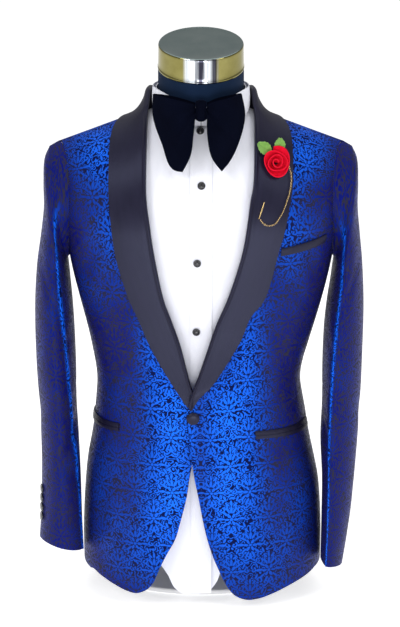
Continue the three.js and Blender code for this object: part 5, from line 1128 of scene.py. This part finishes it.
# The shirt's sleeves hang inside the coat's, each one tube of poplin that ends just short of the coat's cuff.
SHIRT_SLEEVE_INSET = 7.5
around, order = np.meshgrid(np.linspace(0, 2 * np.pi, 72, endpoint=False),
                            np.concatenate([np.linspace(11.75, 0, 70), np.linspace(-0.1, -1, 9)]))
for side_name, sections in (("left", LEFT_SLEEVE), ("right", RIGHT_SLEEVE)):
    walls = [sleeve_point(SHIRT, SHIRT_ARMHOLE, sections, around, order,
                          inset + SHIRT_SLEEVE_INSET * smooth(order + 1)) for inset in (0, SHIRT_CLOTH)]
    if side_name == "right":
        walls = [mirror(wall) for wall in walls]
    cloth_piece("shirt_sleeve_" + side_name, *walls, cotton, "shirting", "hung",
                [f"shirt_front_{side_name}_sewn"], around=True)

# The shawl collar: one long facing of black satin on each side, rolled back from the button and up round the
# neck, where the two are joined at the nape. Its roll is soft and its outer edge pressed flat on the coat.
SATIN_CLOTH = 1.8
LEFT_LAPEL = table("order rollX rollZ outerX outerZ rise", [
    [0, -19, 343, -14, 338, 3.2], [1, -17, 354, -2, 358, 4.2], [2, -12.2, 370, 14.5, 375, 4.8],
    [3, -4.7, 391.5, 35, 404.5, 5.1], [4, 7.5, 428, 59, 444.5, 5.1], [5, 21, 468, 74, 481, 5.1],
    [6, 40, 513, 96.5, 512, 5.1], [7, 58, 570, 114.5, 579, 5.1], [8, 66.5, 615, 124, 614, 5.3],
    [9, 72, 656, 131, 650, 5.8], [10, 77, 690, 135, 680, 7.5]])
RIGHT_LAPEL = table("order rollX rollZ outerX outerZ rise", [
    [0, -1.5, 334, 4, 322, 3.0], [1, 4.5, 350, 20, 340, 3.4], [2, 14.3, 374, 38, 368, 4.2],
    [3, 20.5, 399, 58, 401, 5.1], [4, 30.5, 439, 79, 441, 5.1], [5, 44, 478, 92, 473, 5.1],
    [6, 56, 513, 109, 512, 5.1], [7, 67.4, 570, 125.5, 568.5, 5.1], [8, 74, 615, 132, 614, 5.3],
    [9, 79, 653, 135, 647, 5.8], [10, 80, 688, 136, 680, 7.5]])
COLLAR_NECK = table("order seamX seamBehind outerX outerBehind rise lean", [
    [11, 79, -52, 135, -72, 10, 0.5], [12, 79, -32, 131, -40, 16, 1.5], [13, 79, -14, 124, -14, 22.5, 2.5],
    [14, 79, 2, 117, 8, 28, 3], [15, 78, 24, 112, 34, 33, 2], [16, 70, 52, 98, 66, 37, 0],
    [17, 52, 72, 72, 90, 40, -1], [18, 27, 83, 37, 103, 42, -1], [19, 0.2, 87, 0.2, 108, 43, -1]])
FALL_HEIGHT = 2.9
satin, tree, shader = new_material(
    "black satin", (0.012, 0.011, 0.022), 0.36, Anisotropic=0.4, Specular_IOR_Level=0.36,
    Specular_Tint=(0.62, 0.68, 1, 1))
u, v, w = place_in(tree, "UV")
streaks = noise_in(tree, 0.12, 3.0, kind="UV", stretch=(1, 0.2, 1))
tree.links.new(colour_between(tree, streaks, (0.005, 0.004, 0.012), (0.013, 0.011, 0.028)), shader.inputs[0])
tree.links.new((streaks * 0.14 + 0.3).socket, shader.inputs["Roughness"])
raise_by(tree, shader, (u * 12.0 + v * 2.0).apply("SINE") * 0.5 + 0.5, 0.0001, 0.4)


def over_shoulder(layer, x, behind_ridge, out):
    """A point of the coat by x and by how far behind the shoulder's ridge it lies, pushed out."""
    x, behind_ridge = np.broadcast_arrays(np.asarray(x, float), np.asarray(behind_ridge, float))
    climb = TOP_CLIMB - np.abs(behind_ridge)
    front = turn_at(layer, x, climb)
    return body_point_out(layer, np.where(behind_ridge > 0, np.pi - front, front), climb, out)


def behind_at(layer, x, z):
    """How far behind the shoulder's ridge the front's point at x and z lies."""
    return front_place(layer, x, z)[1] - TOP_CLIMB


def collar_places(lapel, layer):
    """One table for the whole collar: the lapel's rows as seen from ahead, then the neck's rows."""
    order, x, z, outer_x, outer_z, rise = lapel.values()
    rows = np.stack([order, x + 0.5, behind_at(layer, x, z), outer_x,
                     behind_at(layer, outer_x, outer_z), rise,
                     0 * rise], axis=1)
    neck_rows = np.stack(list(COLLAR_NECK.values()), axis=1)
    return table("order seamX seamBehind outerX outerBehind rise lean", np.concatenate([rows, neck_rows]))


def collar_grid(layer, lapel, lift, order, columns):
    """Sections of the collar: each stands up from its seam, turns over the roll and falls on the coat. The
    rise dies away along the fall as a power of what is left of it."""
    places = collar_places(lapel, layer)
    now = {column: read(places, column, order) for column in list(places)[1:]}
    neck_share = smooth((order - 9.5) / 3)
    stands = mix(0.2, 0.6, neck_share)

    def lift_at(x, behind_ridge):
        p = over_shoulder(layer, x, behind_ridge, 0 * x)
        return lift(p[..., 0], p[..., 2])

    base = over_shoulder(layer, now["seamX"], now["seamBehind"], lift_at(now["seamX"], now["seamBehind"]))
    outer = over_shoulder(layer, now["outerX"], now["outerBehind"], 0 * order)
    normal = unit(over_shoulder(layer, now["seamX"], now["seamBehind"], 0 * order + 10)
                  - over_shoulder(layer, now["seamX"], now["seamBehind"], 0 * order))
    up = unit(mix(normal, np.array([0, 0, 1.0]), neck_share[:, None]))
    away = outer - base
    away = unit(away - up * (away * up).sum(axis=-1, keepdims=True))
    rise, lean = now["rise"], now["lean"]

    def at(height, sideways):
        return (base + up * (stands + height * rise)[:, None] + away * (sideways - lean * height)[:, None])

    start = np.where(rise > 8, 1 - 3 / rise, 0.55)
    zero = 0 * order
    points = [at(zero, zero), at(start * 0.5, -0.2 * (1 - neck_share)),
              at(start, zero), at(zero + 1, zero + 2.6)]
    over = at(1 - 2.4 / np.maximum(rise, 5), zero + 5.4)
    points.append(over)
    seam_x = mix(now["seamX"], now["outerX"], 0.1)
    seam_behind = mix(now["seamBehind"], now["outerBehind"], 0.1)
    foot = over_shoulder(layer, seam_x, seam_behind, FALL_HEIGHT + lift_at(seam_x, seam_behind))
    for share in (0.14, 0.23, 0.32, 0.43, 0.55, 0.67, 0.78, 0.89, 1):
        x = mix(seam_x, now["outerX"], share)
        behind_ridge = mix(seam_behind, now["outerBehind"], share)
        fade = max(0, 1 - share / 0.8) ** mix(2, 2.8, neck_share)
        resting = over_shoulder(layer, x, behind_ridge, FALL_HEIGHT + lift_at(x, behind_ridge))
        points.append(resting + (over - foot) * fade[:, None])
    section = np.stack(points, axis=1)
    walked = np.concatenate([np.zeros((len(order), 1)),
                             np.cumsum(np.linalg.norm(np.diff(section, axis=1), axis=2), axis=1)], axis=1)
    shares = np.linspace(0, 1, columns + 1)
    return np.stack([np.stack([cubic(walked[j], section[j, :, k], shares * walked[j, -1]) for k in range(3)],
                              axis=-1) for j in range(len(order))])


order = np.linspace(0, 19, 153)
left_collar = collar_grid(JACKET, LEFT_LAPEL, overlap_lift, order, 44)
right_collar = mirror(collar_grid(JACKET_RIGHT, RIGHT_LAPEL, no_lift, order, 44))
for side_name, collar in (("left", left_collar), ("right", right_collar)):
    cloth_piece("shawl_collar_" + side_name, collar, behind(collar, SATIN_CLOTH), satin, "satin", "folded",
                ["jacket_front_" + side_name + "_sewn"])

# The pockets: two satin-jetted hip pockets, each a pair of narrow lips along a slit, and a satin welt on the
# wearer's left breast that is stitched down at its two ends.
POCKETS = {
    "hip_pocket_left": (JACKET, [27.5, 80], [286, 276], [298.5, 291], 1, True),
    "hip_pocket_right": (JACKET_RIGHT, [45, 97], [291, 281], [304, 296], 1, True),
    "breast_welt": (JACKET, [30.5, 58.5], [573, 585], [585, 598], 0.8, False)}
u, v = both_ways(60, 20)
for name, (layer, turns_of, lows, highs, bulge, jetted) in POCKETS.items():
    turn = mix(*turns_of, u) * DEGREE
    climb = mix(mix(*lows, u), mix(*highs, u), v)
    rounded = bulge * np.sin(np.pi * v) ** 0.7
    if jetted:
        rounded = rounded - 0.9 * np.exp(-((v - 0.5) / 0.07) ** 2)
    seen = body_point(layer, turn, climb)
    outer = body_point_out(layer, turn, climb, 2.1 + rounded)
    inner = body_point_out(layer, turn, climb, np.full(u.shape, 0.7))
    if name.endswith("right"):
        outer, inner = mirror(outer), mirror(inner)
    cloth_piece(name, outer, inner, satin, "satin", "laid",
                ["jacket_front_" + ("right" if name.endswith("right") else "left") + "_sewn"])

# The coat's buttons: one large button covered in the collar's satin, which holds the fronts closed, and four
# touching domed buttons up the outside of each cuff.
COVERED_PROFILE = [[6, 0], [8.2, 0.4], [9.4, 1.2], [10, 2.4], [9.7, 3.4], [8.6, 4.5], [6.8, 5.4], [4.6, 5.9],
                   [2.4, 6.15], [0.6, 6.2]]
at, axis = on_front(JACKET, -11.8, 326, OVERLAP_LIFT + 0.35)
button = turned(COVERED_PROFILE, at, axis, 56, ripple=0.006)
piece("front_button_covered", button, rings_between(button), satin, ["front_button"], sharp=60)
CUFF_PROFILE = [[5.6, 0], [6.7, 0.5], [7.2, 1.1], [7.1, 2], [6.5, 2.5], [5.6, 2.5], [5, 2.2], [3.4, 2.8],
                [1.6, 3.05], [0.5, 3.1]]
BUTTON_PITCH = 15.2
for side_name, sections, place, from_hem in (("left", LEFT_SLEEVE, 52, 22), ("right", RIGHT_SLEEVE, -24, 40)):
    place = place * DEGREE
    cuff = read(sections, "outerZ", SLEEVE_ORDER)

    def on_sleeve(around, order):
        """A point of this sleeve's outside."""
        return sleeve_point(JACKET, JACKET_ARMHOLE, sections, around, order, 0.0)

    for number in range(4):
        target = -(cuff + from_hem + BUTTON_PITCH * number)
        order = solve(lambda order: -on_sleeve(place, order)[..., 2], target, 7, SLEEVE_ORDER)
        at = on_sleeve(place, order)
        axis = unit(np.cross(on_sleeve(place + 0.05, order) - at, on_sleeve(place, order - 0.1) - at))
        at = at + axis * 0.4
        if side_name == "right":
            at, axis = at * [-1, 1, 1], axis * [-1, 1, 1]
        made = turned(CUFF_PROFILE, at, axis, 28)
        name = f"cuff_button_{side_name}_{number + 1}"
        piece(name + "_domed", made, rings_between(made), gloss, [name])

# The lapel pin: a rose wound from one strip of red felt with two green felt leaves behind it.
red_felt, tree, shader = new_material("red felt", (0.8, 0.004, 0.03), 0.9, Sheen_Weight=0.08,
                                      Sheen_Tint=(1, 0.2, 0.2, 1), Specular_IOR_Level=0.1)
tree.links.new(colour_between(tree, noise_in(tree, 160.0), (0.6, 0.002, 0.018), (0.9, 0.006, 0.04)),
               shader.inputs[0])
raise_by(tree, shader, noise_in(tree, 1500.0, 3.0), 0.0004, 0.8)
green_felt, tree, shader = new_material("green felt", (0.14, 0.34, 0.05), 0.9, Sheen_Weight=0.4)
tree.links.new(colour_between(tree, noise_in(tree, 180.0), (0.09, 0.24, 0.03), (0.24, 0.46, 0.09)),
               shader.inputs[0])
raise_by(tree, shader, noise_in(tree, 1500.0, 3.0), 0.0004, 0.8)
ROSE_AT = over_shoulder(JACKET, 108.0, behind_at(JACKET, 108.0, 707.0), 4.6)
ROSE_AXIS = unit(np.array([0.18, -0.93, 0.32]))
rose_turn = np.cross([0, 0, 1.0], ROSE_AXIS)
rose_cosine = ROSE_AXIS[2]


def from_rose(points):
    """Points in the rose's own frame, turned from upright to its axis by the shortest way."""
    points = np.asarray(points, float)
    crossed = np.cross(rose_turn, points)
    return ROSE_AT + points + crossed + np.cross(rose_turn, crossed) / (1 + rose_cosine)


ROSE_LINES = table("share radius height flare", [[0, 0.55, 0.5, 0], [0.5, 0.92, 6.5, 0.6], [1, 1, 12.5, 1]])
share, up = np.meshgrid(np.linspace(0, 1, 260), np.linspace(0, 1, 15))
angle = share * 3.3 * 2 * np.pi
wave = np.cos(angle * 2.5) * 2.4 * share
radius = ((2.6 + 18.6 * share ** 0.9) * read(ROSE_LINES, "radius", up)
          + (wave + 2.4 * share) * read(ROSE_LINES, "flare", up))
height = read(ROSE_LINES, "height", up) * (1.12 - 0.42 * share) + 0.5 * up * np.cos(angle * 1.7 + 1) * share
rose = from_rose(np.stack([radius * np.cos(angle), radius * np.sin(angle), height], axis=-1))
cloth_piece("rose", rose, behind(rose, 1.5), red_felt, "felt_red", "folded", ["shawl_collar_left_sewn"])


def leaf_of(stem, tip, broad, u, v):
    """A leaf from its stem to its tip, half a sine wide, creased down its middle, with a toothed edge."""
    along = tip - stem
    aside = unit(np.cross(along, ROSE_AXIS))
    side = (u - 0.5) * 2
    toothed = 1 + 0.05 * np.cos(v * 34) * np.abs(side) ** 3
    width = broad * np.sin(np.pi * np.minimum(0.97, v * 0.94 + 0.04)) ** 0.8 * toothed
    vein = 0.25 * np.exp(-(side / 0.12) ** 2)
    return (stem + along * v[..., None] + aside * (side * width)[..., None]
            + ROSE_AXIS * (1.6 * np.abs(side) + 3 * np.sin(np.pi * v) - vein)[..., None])


u, v = both_ways(20, 36)
for name, stem, tip, broad in (("rose_leaf_inner", [-8, 12, 1.6], [-30, 25, 4], 9),
                               ("rose_leaf_outer", [3, 17, 1.6], [2, 37, 5], 8)):
    leaf = leaf_of(from_rose(stem), from_rose(tip), broad, u, v)
    cloth_piece(name, leaf, behind(leaf, 1.1), green_felt, "felt_green", "laid", ["shawl_collar_left_sewn"])

# The pin's metal: a fine chain of round links that hangs from the rose in a bow across the lapel, and the
# short bar and ring at its other end that pin it down. All is thinly plated in pale gold.
gold, tree, shader = new_material("pale gold", (0.72, 0.52, 0.24), 0.25, Metallic=1.0)
tree.links.new((noise_in(tree, 700.0) * 0.25 + 0.12).socket, shader.inputs["Roughness"])
PIN_CHAIN = [[124.5, 706, 11], [130.5, 690, 8], [130, 672, 7], [124, 652, 7], [115.5, 634, 7.5],
             [104, 622, 8], [93, 623, 8], [85.9, 631.2, 5.8]]
PIN_BAR = [[84.2, 631.5, 5.9], [88, 642, 5.4], [92.5, 655, 4.9]]


def on_lapel(places):
    """Points over the left lapel, given as seen from ahead and by how far they stand off the coat."""
    x, z, out = np.array(places, float).T
    return over_shoulder(JACKET, x, behind_at(JACKET, x, z), out)


def swept(points, radius, sides):
    """Rings of a round wire along points, each square to the wire's direction."""
    along = unit(np.gradient(points, axis=0))
    reference = np.array([0.3, 1, 0.2])
    aside = unit(reference - along * (along @ reference)[:, None])
    up = np.cross(along, aside)
    angles = np.linspace(0, 2 * np.pi, sides, endpoint=False)[:, None]
    radius = np.broadcast_to(radius, len(points))[:, None, None]
    return points[:, None] + radius * (np.cos(angles) * aside[:, None] + np.sin(angles) * up[:, None])


chain_path = curve_through(on_lapel(PIN_CHAIN))(np.linspace(0, 1, 400))
walked = np.concatenate([[0], np.cumsum(np.linalg.norm(np.diff(chain_path, axis=0), axis=1))])
LINK_PITCH = 1.9
LINK_HALF = 1.35
WIRE = 0.28
count = int(walked[-1] / LINK_PITCH)
places = np.stack([np.interp((np.arange(count) + 0.5) * walked[-1] / count, walked, chain_path[:, k])
                   for k in range(3)], axis=-1)
along = unit(np.gradient(places, axis=0))
flat = unit(np.cross(along, [0.2, -1, 0.1]))
square = np.cross(along, flat)
odd = (np.arange(count) % 2)[:, None]
aside = mix(flat, square, odd)
normal = np.cross(along, aside)
ring_angles = np.linspace(0, 2 * np.pi, 14, endpoint=False)[None, :, None, None]
wire_angles = np.linspace(0, 2 * np.pi, 6, endpoint=False)[None, None, :, None]
outward = (np.cos(ring_angles) * along[:, None, None] + np.sin(ring_angles) * aside[:, None, None])
long_way = (np.cos(ring_angles) * LINK_HALF * along[:, None, None]
            + np.sin(ring_angles) * 0.85 * aside[:, None, None])
links = (places[:, None, None] + long_way + WIRE * (np.cos(wire_angles) * outward
                                                     + np.sin(wire_angles) * normal[:, None, None]))
index = np.arange(count * 14 * 6).reshape(count, 14, 6)
next_ring, next_wire = np.roll(index, -1, axis=1), np.roll(index, -1, axis=2)
both = np.roll(next_ring, -1, axis=2)
link_faces = np.stack([index, next_ring, both, next_wire], axis=-1).reshape(-1, 4).tolist()
piece("chain_links", links, link_faces, gold, ["pin_chain"], sharp=80)
bar_path = curve_through(on_lapel(PIN_BAR))(np.linspace(0, 1, 30))
bar = swept(bar_path, 1.05 * np.sin(np.pi * np.linspace(0.12, 0.94, 30)) ** 0.3, 12)
piece("pin_bar_plated", bar, rings_between(bar), gold, ["pin_bar"])

# The floor is a plain pale sheet, and the light is a studio's: a bright white room, a low wide lamp ahead
# that the satin gives back, and two softer ones from above.
floor_mesh = bpy.data.meshes.new("studio_floor")
floor_mesh.from_pydata([(-9, -9, 0), (9, -9, 0), (9, 9, 0), (-9, 9, 0)], [], [(0, 1, 2, 3)])
floor = bpy.data.objects.new("studio_floor", floor_mesh)
scene.collection.objects.link(floor)
floor_paint, tree, shader = new_material("pale floor", (0.93, 0.93, 0.93), 0.9, Specular_IOR_Level=0.1,
                                         Emission_Color=(1, 1, 1, 1), Emission_Strength=0.62)
floor_mesh.materials.append(floor_paint)
scene.view_settings.view_transform = "Standard"
scene.world = bpy.data.worlds.new("white room")
scene.world.use_nodes = True
scene.world.node_tree.nodes["Background"].inputs[0].default_value = (1, 1, 1, 1)
scene.world.node_tree.nodes["Background"].inputs[1].default_value = 0.42


def lamp(name, at, aim, size, power, colour=(1, 1, 1)):
    """A square soft lamp at a place, turned to a point that it lights."""
    light = bpy.data.lights.new(name, "AREA")
    light.shape = "RECTANGLE"
    light.size, light.size_y = size
    light.energy = power
    light.color = colour
    made = bpy.data.objects.new(name, light)
    made.location = at
    toward = unit(np.array(aim, float) - np.array(at, float))
    pitch = np.arccos(-toward[2])
    made.rotation_euler = (pitch, 0, np.arctan2(toward[0], -toward[1]) + np.pi)
    scene.collection.objects.link(made)
    return made


lamp("low lamp ahead", (0.1, -2.2, 0.25), (0, 0, 0.3), (0.9, 0.5), 12)
lamp("high lamp left", (-1.8, -2.0, 2.4), (0, 0, 0.5), (1.2, 1.2), 26)
lamp("high lamp right", (1.9, -1.8, 2.2), (0, 0, 0.5), (1.2, 1.2), 18)
lamp("lamp overhead", (0, 0.6, 3.6), (0, 0, 0), (3.0, 3.0), 30)

# The camera stands three metres off, a little above the shoulders, and looks down on the chest.
camera_data = bpy.data.cameras.new("photographer")
camera_data.lens = 111.1
camera_data.sensor_width = 36
camera = bpy.data.objects.new("photographer", camera_data)
camera.location = (-0.0015, -2.8889, 1.3311)
camera.rotation_euler = (73 * DEGREE, 0, 0)
scene.collection.objects.link(camera)
scene.camera = camera
